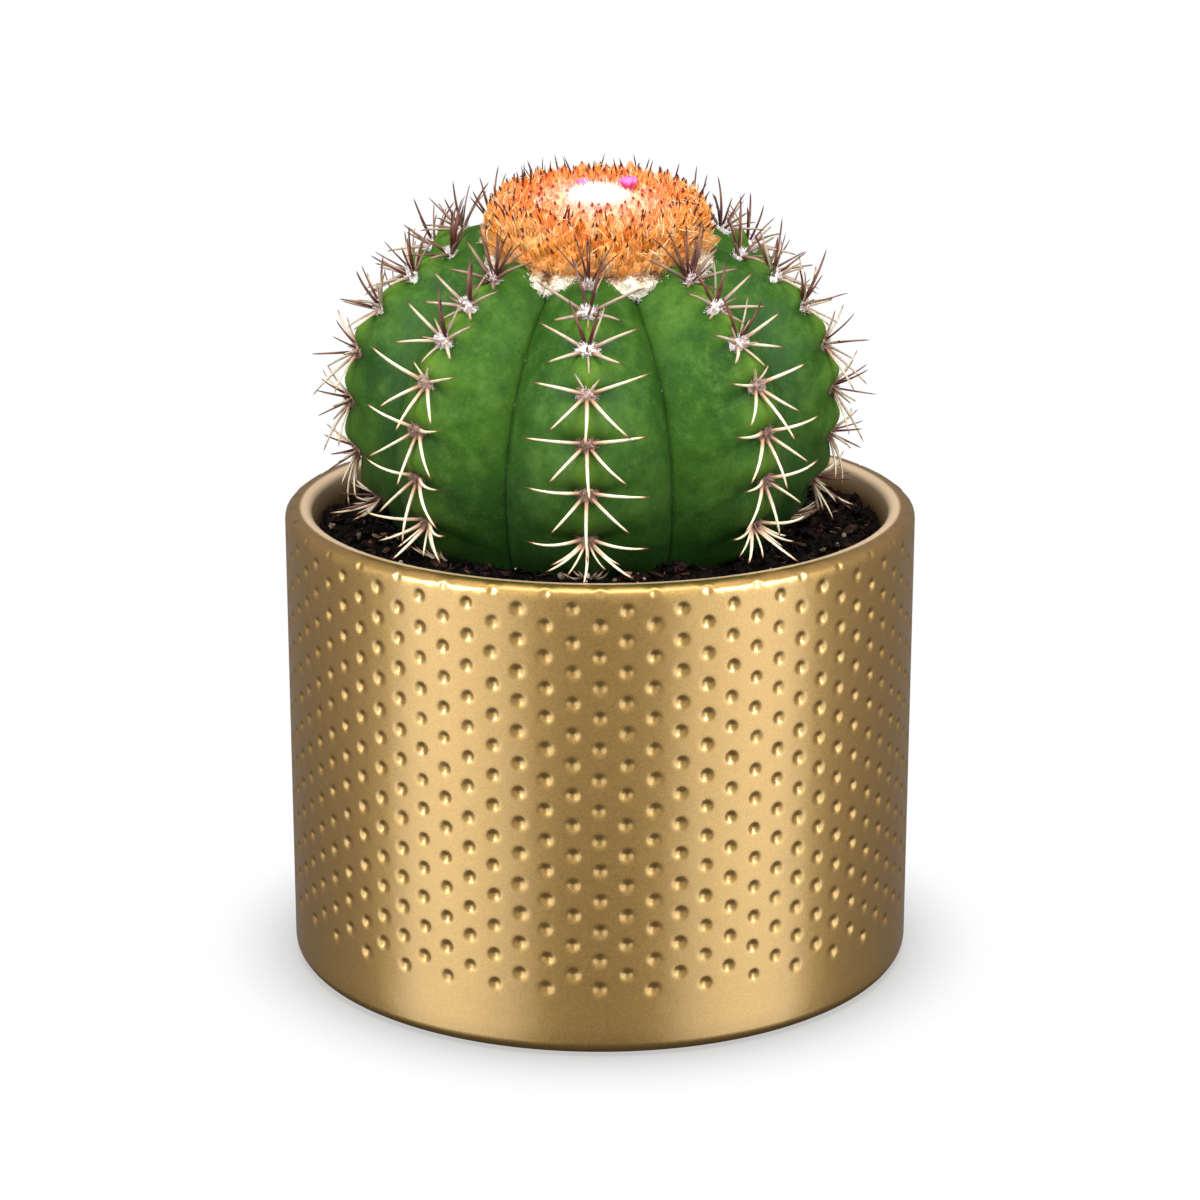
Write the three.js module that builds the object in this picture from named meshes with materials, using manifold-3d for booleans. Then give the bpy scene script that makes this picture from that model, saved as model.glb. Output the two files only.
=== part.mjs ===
// A melocactus in a dimpled gold pot: a round ribbed cactus with spines and an orange bristly cap.
// Millimetres, +Z up. The origin is at the middle of the pot's foot, and the front is -Y.
import * as THREE from 'three';
import { mergeVertices } from 'three/addons/utils/BufferGeometryUtils.js';
import Module from 'manifold-3d';

const wasm = await Module();
wasm.setup();

// Driving dimensions of the pot
const potRadius = 67.5;
const potHeight = 99.6;
const lipInnerRadius = 61.7;
const floorThickness = 5.5;
const footRecess = 1.2;

// Dents in the pot's wall: columns round it, every other one half a pitch higher
const dentColumns = 78;
const dentPitch = 6.44;
const dentDepth = 0.55;
const lowestDent = 14.6;
const dentRows = 27;

// Soil
const soilLevel = 95;
const gap = 0.35;

// The plant leans towards the front by this angle, about a pivot inside the body
const plantLean = THREE.MathUtils.degToRad(8);
const plantPivot = new THREE.Vector3(-1.75, 0, 110);

// Side curves of the green body: radius and height of the widest place, how far the curve rises above it
// and drops below it, and how full it is there (1 is an ellipse). Heights are those before the plant leans.
const ridge = { radius: 50.65, height: 122.4, rise: 38.4, drop: 46.7, upperPower: 0.85, lowerPower: 1.07 };
const groove = { radius: 45.2, height: 116, rise: 43.3, drop: 45, upperPower: 1, lowerPower: 1 };
const crown = { radius: 12, height: 160.3, top: 160.8 };
const root = { radius: 12, height: 78, tip: 64, tipRadius: 8 };

// Ribs: angle from the front, how far down the first areole is (in areoles), and their spacing
const ribs = [
  { angle: -160, start: 0.2, spacing: 1 },
  { angle: -121.5, start: 0.55, spacing: 1 },
  { angle: -83, start: 0.1, spacing: 1.1 },
  { angle: -44, start: 0, spacing: 1 },
  { angle: -1, start: 0.7, spacing: 1.02 },
  { angle: 43.7, start: 0.05, spacing: 1 },
  { angle: 85, start: 0.3, spacing: 1 },
  { angle: 123, start: 0.6, spacing: 1 },
  { angle: 161, start: 0, spacing: 1.02 },
];
const firstAreoleRadius = 28.6;
const areolesPerRib = 9;

// Distance between areoles at the top of a rib, and how much wider apart each next pair is
const areolePitch = 7.9;
const pitchGrowth = 0.25;

// The ridge stands out between areoles by this height. A power over 1 puts the fullest place low.
const bulgeHeight = 2.2;
const bulgePower = 1.45;

// The flanks are full near the ridges, and the grooves are creased: 1 would make them straight
const flankPower = 1.6;

// Cap of bristles on the crown, a little to one side of the body's middle
const capMiddle = 1.3;
const capRadius = 22.9;
const capBottom = 157.3;
const capTop = 167.2;
const woolRadius = 23.9;
const crownWoolRadius = 6.4;

// ---- Small tools ----

// A seeded random number between 0 and 1
function randomFrom(seed) {
  let state = seed;
  return () => {
    state = (state * 1664525 + 1013904223) % 4294967296;
    return state / 4294967296;
  };
}

// Welds a geometry's corners and drops the faces that this leaves without area
function weld(geometry) {
  const bare = geometry.clone();
  bare.deleteAttribute('normal');
  bare.deleteAttribute('uv');
  const merged = mergeVertices(bare, 1e-3);
  const index = merged.getIndex().array;
  const kept = [];
  for (let i = 0; i < index.length; i += 3) {
    const [a, b, c] = [index[i], index[i + 1], index[i + 2]];
    if (a !== b && b !== c && c !== a) kept.push(a, b, c);
  }
  merged.setIndex(kept);
  return merged;
}

function toSolid(geometry) {
  const welded = weld(geometry);
  const vertProperties = new Float32Array(welded.getAttribute('position').array);
  const triVerts = new Uint32Array(welded.getIndex().array);
  return new wasm.Manifold(new wasm.Mesh({ numProp: 3, vertProperties, triVerts }));
}

function toGeometry(solid) {
  const mesh = solid.getMesh();
  const geometry = new THREE.BufferGeometry();
  geometry.setAttribute('position', new THREE.BufferAttribute(new Float32Array(mesh.vertProperties), 3));
  geometry.setIndex(Array.from(mesh.triVerts));
  geometry.computeVertexNormals();
  return geometry;
}

function addAll(solids) {
  return solids.reduce((sum, solid) => sum.add(solid));
}

// What is left of a cut solid once the loose scraps are dropped
function largestPiece(solid) {
  return solid.decompose().reduce((best, piece) => (piece.volume() > best.volume() ? piece : best));
}

// Turns a profile of [radius, height] points round the Z axis, starting at the front (-Y).
// move(column, row) may give each corner its own [radius, height, angle], for dents, ribs and lumps.
function revolve(profile, columns, move = (column, row) => profile[row]) {
  const points = profile.map(([radius, height]) => new THREE.Vector2(radius, height));
  const geometry = new THREE.LatheGeometry(points, columns);
  const position = geometry.getAttribute('position');
  for (let column = 0; column < columns; column += 1) {
    for (let row = 0; row < profile.length; row += 1) {
      const even = (column / columns) * 2 * Math.PI;
      const [radius, height, angle = even] = move(column, row);
      const corner = [radius * Math.sin(angle), -radius * Math.cos(angle), height];
      position.setXYZ(column * profile.length + row, ...corner);
      if (column === 0) position.setXYZ(columns * profile.length + row, ...corner);
    }
  }
  return weld(geometry);
}

// ---- Pot ----

const innerWall = [
  [59.2, 9],
  [60.7, 94.5],
];

function potGeometry() {
  const foot = [
    [0, footRecess],
    [54, footRecess],
    [55.5, 0],
    [64.6, 0],
    [66.6, 0.9],
    [potRadius, 3],
  ];
  const wall = [];
  for (let row = 0; row < dentRows; row += 1) {
    wall.push([potRadius, lowestDent + (row * dentPitch) / 2]);
  }
  const lip = [
    [66.8, potHeight - 0.6],
    [65.2, potHeight],
    [63.1, potHeight - 0.1],
    [lipInnerRadius, potHeight - 1.2],
  ];
  const inside = [
    [innerWall[1][0], innerWall[1][1]],
    [innerWall[0][0], innerWall[0][1]],
    [56.5, floorThickness],
    [0, floorThickness],
  ];
  const profile = [...foot, ...wall, ...lip, ...inside];
  const firstLip = foot.length + wall.length;
  return revolve(profile, dentColumns, (column, row) => {
    const wallRow = row - foot.length;
    const isWall = wallRow >= 0 && wallRow < dentRows;
    const isDent = isWall && (wallRow + column) % 2 === 0;
    const isPlain = row < foot.length - 1 || row > firstLip;
    const [radius, height] = profile[row];
    const turned = isPlain ? column - (column % 2) : column;
    return [isDent ? radius - dentDepth : radius, height, (turned / dentColumns) * 2 * Math.PI];
  });
}

// ---- Green body ----

// A point of a side curve at a latitude: radius and height, before the plant leans
function sidePoint(latitude, curve) {
  const up = Math.sin(latitude) >= 0;
  const power = up ? curve.upperPower : curve.lowerPower;
  const across = curve.radius * Math.max(Math.cos(latitude), 0) ** power;
  const along = Math.abs(Math.sin(latitude)) ** power;
  return new THREE.Vector2(across, curve.height + (up ? curve.rise : -curve.drop) * along);
}

// The ridge measured along its length, from where the first areole can be, down to the base
const ridgeLine = [];
const topLatitude = Math.acos((firstAreoleRadius / ridge.radius) ** (1 / ridge.upperPower));
const stepsAbove = 40;
const stepsBelow = 400;
const latitudeStep = 0.006;
for (let step = -stepsAbove; step <= stepsBelow; step += 1) {
  const latitude = topLatitude - step * latitudeStep;
  const point = sidePoint(latitude, ridge);
  const last = ridgeLine[ridgeLine.length - 1];
  const length = last ? last.length + point.distanceTo(last.point) : 0;
  ridgeLine.push({ latitude, point, length });
}
const lengthAtTop = ridgeLine[stepsAbove].length;

// Latitude of a place along the ridge, counted in areoles: they are wider apart further down
function areoleLatitude(count) {
  const length = lengthAtTop + areolePitch * count + pitchGrowth * count * Math.abs(count);
  const found = ridgeLine.findIndex((entry) => entry.length >= length);
  const [a, b] = [ridgeLine[found - 1], ridgeLine[found]];
  const share = (length - a.length) / (b.length - a.length);
  return a.latitude + share * (b.latitude - a.latitude);
}

// Outward direction of the ridge's side curve at a latitude
function ridgeNormal(latitude) {
  const step = 0.01;
  const along = sidePoint(latitude + step, ridge).sub(sidePoint(latitude - step, ridge)).normalize();
  return new THREE.Vector2(along.y, -along.x);
}

// How far the ridge stands out below an areole: slowly out, then quickly back to the next notch
function bulge(count) {
  const below = count - Math.floor(count);
  return bulgeHeight * Math.sin(Math.PI * below ** bulgePower);
}

// Columns of the body, with the first of each rib on its ridge. off is 0 on a ridge and 1 in a groove.
const columnsPerRib = 6;
const bodyColumns = ribs.flatMap((rib, number) => {
  const next = ribs[(number + 1) % ribs.length];
  const turn = next.angle < rib.angle ? 360 : 0;
  return Array.from({ length: columnsPerRib }, (_, step) => {
    const share = step / columnsPerRib;
    return {
      angle: THREE.MathUtils.degToRad(rib.angle + share * (next.angle + turn - rib.angle)),
      start: THREE.MathUtils.lerp(rib.start, next.start, share),
      spacing: THREE.MathUtils.lerp(rib.spacing, next.spacing, share),
      off: share <= 0.5 ? 2 * share : 2 - 2 * share,
    };
  });
});

// A corner of the body, at a column and a place counted in areoles, with the ridge standing out by stand
function bodyCorner({ off, start, spacing }, count, stand) {
  const latitude = areoleLatitude(Math.max(count, 0) * spacing + Math.min(count, 0) + start);
  const point = sidePoint(latitude, ridge).lerp(sidePoint(latitude, groove), off ** flankPower);
  return point.addScaledVector(ridgeNormal(latitude), stand(count, off));
}

// The body from the tip of its root to its crown, as corners at the given counts of areoles
function bodyGeometry(counts, grown, stand) {
  const poles = {
    under: [
      [0, root.tip - grown],
      [root.tipRadius + grown, root.tip - grown],
      [root.radius + grown, root.height - grown],
    ],
    over: [
      [crown.radius, crown.height + grown],
      [0, crown.top + grown],
    ],
  };
  const profile = [...poles.under, ...counts.map(() => [1, 0]), ...poles.over];
  return revolve(profile, bodyColumns.length, (number, row) => {
    const column = bodyColumns[number];
    const count = counts[row - poles.under.length];
    if (count === undefined) return [...profile[row], column.angle];
    return [...bodyCorner(column, count, stand).toArray(), column.angle];
  });
}

// Places from the lowest row up to the crown, at an even spacing
function countsFrom(lowest, highest, step) {
  return Array.from({ length: Math.round((lowest - highest) / step) + 1 }, (_, row) => lowest - row * step);
}

// The ridge bulges from the first areole down. off fades it out on the way to the groove.
const ridgeFade = 2.5;
const ridgeShare = (count, off) => (count > 0 ? (1 - off) ** ridgeFade : 0);
const notched = (count, off) => bulge(count) * ridgeShare(count, off);

// Three rows to each areole, with a row on every notch, and one row for the buried end of the ribs
const rowStep = 1 / 3;
const buriedCount = 25 * rowStep;
const bodyCounts = [buriedCount, ...countsFrom(21 * rowStep, -2 * rowStep, rowStep)];

// The same body without its notches and a gap larger, to keep its neighbours clear of it
const roomGap = 0.7;
const bodyRoom = bodyGeometry(countsFrom(9, -1, 1), roomGap, (count, off) => (
  roomGap + bulgeHeight * ridgeShare(count, off)
));

// ---- Spines ----

// One spine: a slim three-sided cone from start along reach, with its root sunk in
function spineGeometry(start, reach, thickness, sunk) {
  const length = reach.length() + sunk;
  const direction = reach.clone().normalize();
  const geometry = new THREE.ConeGeometry(thickness / 2, length, 3);
  geometry.translate(0, length / 2 - sunk, 0);
  geometry.applyQuaternion(new THREE.Quaternion().setFromUnitVectors(new THREE.Vector3(0, 1, 0), direction));
  return geometry.translate(start.x, start.y, start.z);
}

// The spines of one areole: each by its share sideways, down the ridge and outwards, and its length
const lowerSpines = [
  { side: -1, down: -0.2, out: 0.42, length: 11.5 },
  { side: 1, down: -0.2, out: 0.42, length: 11.5 },
  { side: -0.75, down: 0.75, out: 0.35, length: 10.5 },
  { side: 0.75, down: 0.75, out: 0.35, length: 10.5 },
  { side: 0, down: 1, out: 0.5, length: 10.5 },
];
const upperSpines = [
  { side: -0.95, down: -0.3, out: 0.5, length: 10.5 },
  { side: 0.95, down: -0.3, out: 0.5, length: 10.5 },
  { side: -0.8, down: 0.5, out: 0.4, length: 9 },
  { side: 0.8, down: 0.5, out: 0.4, length: 9 },
  { side: -0.35, down: -0.9, out: 0.6, length: 10.5 },
  { side: 0.3, down: -0.5, out: 1, length: 11.5 },
];
const spineThickness = 0.85;

// Roots stand this far from the areole's middle, start this far under the skin, and reach on deeper
const rootSpread = 1.1;
const rootInset = 0.5;
const rootDepth = 0.7;

// No two spines are quite alike
const directionPlay = 0.2;
const lengthPlay = 0.24;

// The areoles down to this far from the top of the ribs, counted in areoles, bear the upper kind of spines
const upperCount = 2.5;

// Where each areole is, in the plant's own upright frame
function areoles() {
  const found = [];
  ribs.forEach((rib) => {
    const angle = THREE.MathUtils.degToRad(rib.angle);
    const outward = new THREE.Vector3(Math.sin(angle), -Math.cos(angle), 0);
    for (let number = 0; number < areolesPerRib; number += 1) {
      const latitude = areoleLatitude(number * rib.spacing + rib.start);
      const place = sidePoint(latitude, ridge);
      const slope = ridgeNormal(latitude);
      const point = outward.clone().multiplyScalar(place.x).setZ(place.y);
      const out = outward.clone().multiplyScalar(slope.x).setZ(slope.y);
      const side = new THREE.Vector3(Math.cos(angle), Math.sin(angle), 0);
      const down = new THREE.Vector3().crossVectors(side, out);
      found.push({ point, out, side, down, isUpper: number + rib.start < upperCount });
    }
  });
  return found;
}

const plant = new THREE.Group();
plant.position.copy(plantPivot);
plant.rotation.x = plantLean;
plant.updateMatrixWorld(true);

// Places inside the leaning group are measured from its pivot, under the middle of the pot
const plantOffset = new THREE.Vector3(0, 0, -plantPivot.z);
const standsAt = (point) => point.clone().add(plantOffset).applyMatrix4(plant.matrixWorld);

// Turns a spine that would touch the soil upwards, and one that would enter the cap or its tufts outwards
const lowestTip = soilLevel + 4;
const clearRadius = capRadius + capMiddle + 4.2;
const clearHeight = capBottom - 4;

function clearOfSoilAndCap(start, reach) {
  const outward = new THREE.Vector3(start.x, start.y, 0).normalize();
  const lift = Math.max(lowestTip - standsAt(start.clone().add(reach)).z, 0);
  const height = reach.z + lift;
  const across = reach.clone().setZ(0).addScaledVector(outward, lift);
  if (lift > 0) across.setLength(Math.sqrt(Math.max(reach.lengthSq() - height ** 2, 1)));
  const tip = start.clone().add(across);
  const inside = Math.max(clearRadius - Math.hypot(tip.x, tip.y), 0);
  if (tip.z + height > clearHeight) across.addScaledVector(outward, inside);
  return across.setZ(height);
}

function cactusGeometry() {
  const random = randomFrom(7);
  const lowestAreole = soilLevel + 3.6;
  const pieces = [toSolid(bodyGeometry(bodyCounts, 0, notched))];
  areoles().forEach(({ point, out, side, down, isUpper }) => {
    if (standsAt(point).z < lowestAreole) return;
    const kinds = isUpper ? upperSpines : lowerSpines;
    kinds.forEach((kind) => {
      const direction = new THREE.Vector3()
        .addScaledVector(side, kind.side + (random() - 0.5) * directionPlay)
        .addScaledVector(down, kind.down + (random() - 0.5) * directionPlay)
        .addScaledVector(out, kind.out)
        .normalize();
      const length = kind.length * (1 + (random() - 0.5) * lengthPlay);
      const start = point.clone().addScaledVector(out, -rootInset);
      start.addScaledVector(direction.clone().projectOnPlane(out), rootSpread);
      const reach = clearOfSoilAndCap(start, direction.multiplyScalar(length));
      pieces.push(toSolid(spineGeometry(start, reach, spineThickness, rootDepth)));
    });
  });
  return addAll(pieces);
}

// ---- Cap, wool and flowers ----

// Side outline of the cap: a flat-topped cushion, hollow below where its skirt hangs over the wool,
// with a shallow dish for the white wool in the middle
const skirtInner = capRadius - 1.2;
const dish = { radius: crownWoolRadius + gap, depth: 1.2 };
const capProfile = [
  [0, crown.top + 1.6],
  [14, crown.top + 1.4],
  [skirtInner - 0.4, crown.top + 0.3],
  [skirtInner, capBottom + 0.1],
  [capRadius - 0.4, capBottom],
  [capRadius, capBottom + 3],
  [capRadius - 0.4, capBottom + 6.5],
  [capRadius - 2, capTop - 1.1],
  [capRadius - 5.5, capTop],
  [dish.radius + 0.3, capTop - 0.3],
  [dish.radius, capTop - dish.depth],
  [0, capTop - dish.depth],
];

// A place on the cap's outside, from its middle (0) to the foot of its skirt (1), and its outward direction
function capPlace(share, angle) {
  const flat = 0.62;
  const edge = capRadius - 3;
  const turn = Math.max(share - flat, 0) / (1 - flat);
  const radius = edge * Math.min(share / flat, 1) + 2.8 * Math.sin(turn * Math.PI * 0.5);
  const height = capTop - 0.3 - (capTop - capBottom - 1.6) * turn ** 2;
  const lean = turn * 1.3;
  const outward = new THREE.Vector3(Math.sin(angle), -Math.cos(angle), 0);
  return {
    place: outward.clone().multiplyScalar(radius).setZ(height),
    direction: outward.multiplyScalar(Math.sin(lean)).setZ(Math.cos(lean)),
  };
}

// Tufts and fine dark spines are spread over the cap like the seeds of a sunflower
const goldenAngle = Math.PI * (3 - Math.sqrt(5));
const tuftRoot = 1.3;

function capBristles({ count, thickness, length }, random) {
  return Array.from({ length: count }, (_, number) => {
    const share = 0.38 + 0.62 * ((number + 0.5) / count) ** 0.75;
    const { place, direction } = capPlace(share, number * goldenAngle);
    direction.x += (random() - 0.5) * 0.3;
    direction.y += (random() - 0.5) * 0.3;
    direction.z += 0.25;
    direction.setLength(length * (0.8 + 0.4 * random()));
    return toSolid(spineGeometry(place, direction, thickness, tuftRoot));
  });
}

function capGeometry(cuts) {
  const random = randomFrom(21);
  const tufts = capBristles({ count: 74, thickness: 2.4, length: 1.9 }, random);
  const darkSpines = capBristles({ count: 27, thickness: 0.8, length: 3.2 }, random);
  const whole = addAll([toSolid(revolve(capProfile, 26)), ...tufts, ...darkSpines]);
  return largestPiece(cuts.reduce((solid, cut) => solid.subtract(cut), whole));
}

// The wool is a ring between the cap and the body, which comes out below the skirt in the grooves
function woolGeometry(room) {
  const band = { inner: 15, outer: skirtInner - gap - 0.1 };
  const hem = capBottom - gap;
  const profile = [
    [band.inner, crown.top + 1.35 - gap],
    [band.inner, hem - 5],
    [woolRadius - 0.9, hem - 5],
    [woolRadius, hem - 1.9],
    [woolRadius - 0.5, hem],
    [band.outer, hem],
    [band.outer - 0.5, crown.top + 0.3 - gap],
  ];
  const ring = revolve([...profile, profile[0]], 20);
  return largestPiece(toSolid(ring).subtract(room));
}

function crownWoolGeometry() {
  const bottom = capTop - dish.depth + gap;
  const profile = [
    [0, bottom],
    [crownWoolRadius - 0.8, bottom],
    [crownWoolRadius - 0.1, bottom + 0.7],
    [crownWoolRadius - 1.8, bottom + 1.3],
    [0, bottom + 1.6],
  ];
  const random = randomFrom(5);
  const columns = 16;
  return revolve(profile, columns, (column, row) => {
    const [radius, height] = profile[row];
    return [radius * (0.9 + 0.1 * random()), height];
  });
}

// A small flower: a short tube, sunk in the cap, with six pointed petals that flare outwards
const flowerTube = { radius: 0.8, bottom: capTop - 2.5, top: capTop + 0.8 };

function flowerGeometry(x, y) {
  const height = flowerTube.top - flowerTube.bottom;
  const tube = new THREE.CylinderGeometry(flowerTube.radius, flowerTube.radius * 0.7, height, 8);
  tube.rotateX(Math.PI / 2);
  tube.translate(x, y, flowerTube.bottom + height / 2);
  const petals = Array.from({ length: 6 }, (_, petal) => {
    const angle = (petal * Math.PI) / 3;
    const start = new THREE.Vector3(x, y, flowerTube.top - 0.5);
    const reach = new THREE.Vector3(Math.cos(angle), Math.sin(angle), 1.1).setLength(1.9);
    return toSolid(spineGeometry(start, reach, 1.3, 0.4));
  });
  return addAll([toSolid(tube), ...petals]);
}

// The room that a flower needs in the cap: a plain round hole, and the flare above it
function flowerHole(x, y) {
  const profile = [
    [0, flowerTube.bottom - gap],
    [flowerTube.radius + gap, flowerTube.bottom - gap],
    [flowerTube.radius + gap, capTop - 0.6],
    [3, capTop + 1],
    [3, capTop + 8],
    [0, capTop + 8],
  ];
  return toSolid(revolve(profile, 8).translate(x, y, 0));
}

// ---- Soil ----

function soilGeometry(room) {
  const random = randomFrom(3);
  const clear = 0.6;
  const wallSlope = (innerWall[1][0] - innerWall[0][0]) / (innerWall[1][1] - innerWall[0][1]);
  const edge = innerWall[1][0] - clear - wallSlope * (innerWall[1][1] - soilLevel);
  const ground = [
    [0, floorThickness + clear],
    [56.5 - clear, floorThickness + clear],
    [innerWall[0][0] - clear, innerWall[0][1] + clear],
    [edge, soilLevel - 0.4],
  ];
  const lumpy = [56, 51, 46, 41].map((radius) => [radius, soilLevel]);
  const profile = [...ground, ...lumpy, [0, soilLevel]];
  const lumpHeight = 1.9;
  const surface = revolve(profile, 36, (column, row) => {
    const [radius, height] = profile[row];
    const isLumpy = row >= ground.length && row < profile.length - 1;
    const lump = random() - 0.5;
    return isLumpy ? [radius + lump, height + lumpHeight * lump] : [radius, height];
  });

  // Bark chunks are flat blocks, grit is small rough stones: both half sunk in
  const chunkCount = 20;
  const chunks = Array.from({ length: chunkCount }, (_, number) => {
    const isBark = number % 3 !== 0;
    const size = isBark ? 1.6 + 1.4 * random() : 1 + 0.5 * random();
    const chunk = isBark ? new THREE.BoxGeometry(1.5, 1, 0.6) : new THREE.OctahedronGeometry(1, 0);
    chunk.scale(size, size, size);
    chunk.rotateX((random() - 0.5) * 0.5);
    chunk.rotateY((random() - 0.5) * 0.5);
    chunk.rotateZ(random() * Math.PI);
    const angle = ((number + random() * 0.8) / chunkCount) * 2 * Math.PI;
    const radius = 43 + 13.5 * random();
    return toSolid(chunk.translate(radius * Math.sin(angle), -radius * Math.cos(angle), soilLevel + 0.4));
  });
  return largestPiece(addAll([toSolid(surface), ...chunks]).subtract(room));
}

// ---- Assembly ----

function material(color, roughness, metalness) {
  return new THREE.MeshStandardMaterial({ color, roughness, metalness });
}

function named(name, geometry, finish) {
  const mesh = new THREE.Mesh(geometry, finish);
  mesh.name = name;
  return mesh;
}

const standingRoom = bodyRoom.clone().translate(0, 0, plantOffset.z).applyMatrix4(plant.matrixWorld);
const soil = toGeometry(soilGeometry(toSolid(standingRoom)));
const object = new THREE.Group();
object.add(named('pot', potGeometry(), material('#a5813f', 0.35, 0.9)));
object.add(named('soil', soil, material('#2d2019', 0.95, 0)));

// What grew together leans together; the cap's own pieces are set round the cap's middle
function grown(name, geometry, finish, middle = 0) {
  const mesh = named(name, geometry, finish);
  mesh.position.copy(plantOffset).setX(middle);
  plant.add(mesh);
}

const flowerPlaces = [
  [-3.1, 7.9],
  [6.6, 7.3],
];
const flowerHoles = flowerPlaces.map(([x, y]) => flowerHole(x, y));
const roomUnderCap = toSolid(bodyRoom.clone().translate(-capMiddle, 0, 0));
const cap = toGeometry(capGeometry([roomUnderCap, ...flowerHoles]));
grown('cactus', toGeometry(cactusGeometry()), material('#2f6b2c', 0.55, 0));
grown('cephalium', cap, material('#d9742c', 0.85, 0), capMiddle);
grown('cephalium_wool', toGeometry(woolGeometry(roomUnderCap)), material('#efe6d3', 0.95, 0), capMiddle);
grown('crown_wool', crownWoolGeometry(), material('#fbf6ee', 0.95, 0), capMiddle);
flowerPlaces.forEach(([x, y], number) => {
  const finish = material('#e0569c', 0.6, 0);
  grown(`flower_${number + 1}`, toGeometry(flowerGeometry(x, y)), finish, capMiddle);
});
object.add(plant);

export default object;
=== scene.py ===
import math

import bpy
import numpy as np
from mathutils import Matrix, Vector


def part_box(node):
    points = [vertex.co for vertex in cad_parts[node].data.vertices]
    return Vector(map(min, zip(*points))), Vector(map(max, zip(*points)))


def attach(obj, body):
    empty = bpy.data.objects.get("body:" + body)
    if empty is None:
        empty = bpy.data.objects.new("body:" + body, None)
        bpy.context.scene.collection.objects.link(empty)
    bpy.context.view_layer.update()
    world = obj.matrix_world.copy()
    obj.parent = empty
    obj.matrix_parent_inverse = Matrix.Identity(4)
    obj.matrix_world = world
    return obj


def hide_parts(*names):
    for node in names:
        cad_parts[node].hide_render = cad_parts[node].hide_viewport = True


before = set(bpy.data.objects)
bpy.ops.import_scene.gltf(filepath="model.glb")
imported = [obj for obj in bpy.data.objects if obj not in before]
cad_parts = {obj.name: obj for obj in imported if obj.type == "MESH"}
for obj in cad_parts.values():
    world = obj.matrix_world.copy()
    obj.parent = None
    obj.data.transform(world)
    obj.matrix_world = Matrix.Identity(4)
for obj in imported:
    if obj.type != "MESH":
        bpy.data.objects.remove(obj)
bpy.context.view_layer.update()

# Metres, +Z up, the front is -Y. The origin is at the middle of the pot's foot.


# ---- Pot ----
# A straight-sided ceramic pot, thrown thick, with round dents pressed into the wall in staggered columns,
# a plain band at the foot, and a satin coat of metallic gold. The lip and inside are a duller, paler gold.

pot_low, pot_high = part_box("pot")
pot_radius = -pot_low.y
pot_height = pot_high.z
dent_columns = 78
dent_rows = 27
half_pitch = 0.00322
lowest_dent = 0.0146
shoulder_radius = 0.0022
lip_inner_radius = 0.0617
inner_wall_top = (0.0607, 0.0945)
inner_wall_foot = (0.0592, 0.009)
pot_floor = 0.0055
foot_recess = 0.0012


def arc(centre, radius, start, end, steps):
    """Points of a round stretch of a profile, from one angle to another in degrees."""
    turns = np.radians(np.linspace(start, end, steps + 1))
    return [(centre[0] + radius * math.cos(t), centre[1] + radius * math.sin(t)) for t in turns]


def quads_between(rings, columns):
    """Faces that join rings of points, each ring closing on itself."""
    column = np.arange(columns)
    after = (column + 1) % columns
    faces = [
        np.stack([ring * columns + column, ring * columns + after,
                  (ring + 1) * columns + after, (ring + 1) * columns + column], axis=1)
        for ring in range(rings - 1)
    ]
    return np.concatenate(faces)


def even_turns(n):
    """Angles of n even steps all the way round."""
    return np.arange(n) / n * 2 * math.pi


def turned(radius, height, angle):
    """Points at a radius and height, turned from the front towards the right."""
    return np.stack([radius * np.sin(angle), -radius * np.cos(angle), height * np.ones_like(radius)], axis=-1)


def level_ring(radius, height, turns):
    """A ring of points at one radius and height."""
    return turned(np.full(len(turns), float(radius)), height, turns)


def make_piece(name, points, faces, material, traits=None, weld=False, smooth=True):
    """A mesh object of one material. traits are values that its points carry for the material."""
    points = np.asarray(points, dtype=float)
    traits = traits or {}
    if weld:
        rounded = np.round(points, 8)
        points, kept, spot_of = np.unique(rounded, axis=0, return_index=True, return_inverse=True)
        spot_of = spot_of.reshape(-1)
        traits = {trait: values[kept] for trait, values in traits.items()}
        faces = [list(dict.fromkeys(spot_of[face].tolist())) for face in faces]
        faces = [face for face in faces if len(face) > 2]
    mesh = bpy.data.meshes.new(name)
    mesh.from_pydata(points.tolist(), [], faces)
    for trait, values in traits.items():
        carried_values = mesh.attributes.new(trait, "FLOAT", "POINT").data
        carried_values.foreach_set("value", np.asarray(values, dtype=np.float32))
    mesh.shade_smooth() if smooth else mesh.shade_flat()
    mesh.materials.append(material)
    piece = bpy.data.objects.new(name, mesh)
    bpy.context.scene.collection.objects.link(piece)
    return piece


def wall_place(along):
    """Radius and height of the wall and its outward direction, by height and then round the shoulder."""
    shoulder = pot_height - shoulder_radius
    turn = np.clip((along - shoulder) / shoulder_radius, 0, math.pi / 2)
    past = np.maximum(along - shoulder - shoulder_radius * math.pi / 2, 0)
    radius = pot_radius - shoulder_radius * (1 - np.cos(turn)) - past
    height = np.minimum(along, shoulder) + shoulder_radius * np.sin(turn)
    return radius, height, np.cos(turn), np.sin(turn)


def wall_points(column, along, depth):
    """Points on the wall at a place counted in columns and a length up the wall, sunk by depth."""
    radius, height, outward, upward = wall_place(along)
    turn = column / dent_columns * 2 * math.pi
    return turned(radius - depth * outward, height - depth * upward, turn)


# One dent is a soft bowl: rings from its rim to its middle, as radius and depth
dent_radius = 0.0019
dent_depth = 0.00052
dent_rim = 0.0023
dent_rings = [(dent_rim, 0.0)] + [(dent_radius * share, dent_depth * math.cos(share * math.pi / 2) ** 2)
                                  for share in (0.95, 0.80, 0.65, 0.50, 0.34, 0.17)]
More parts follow.
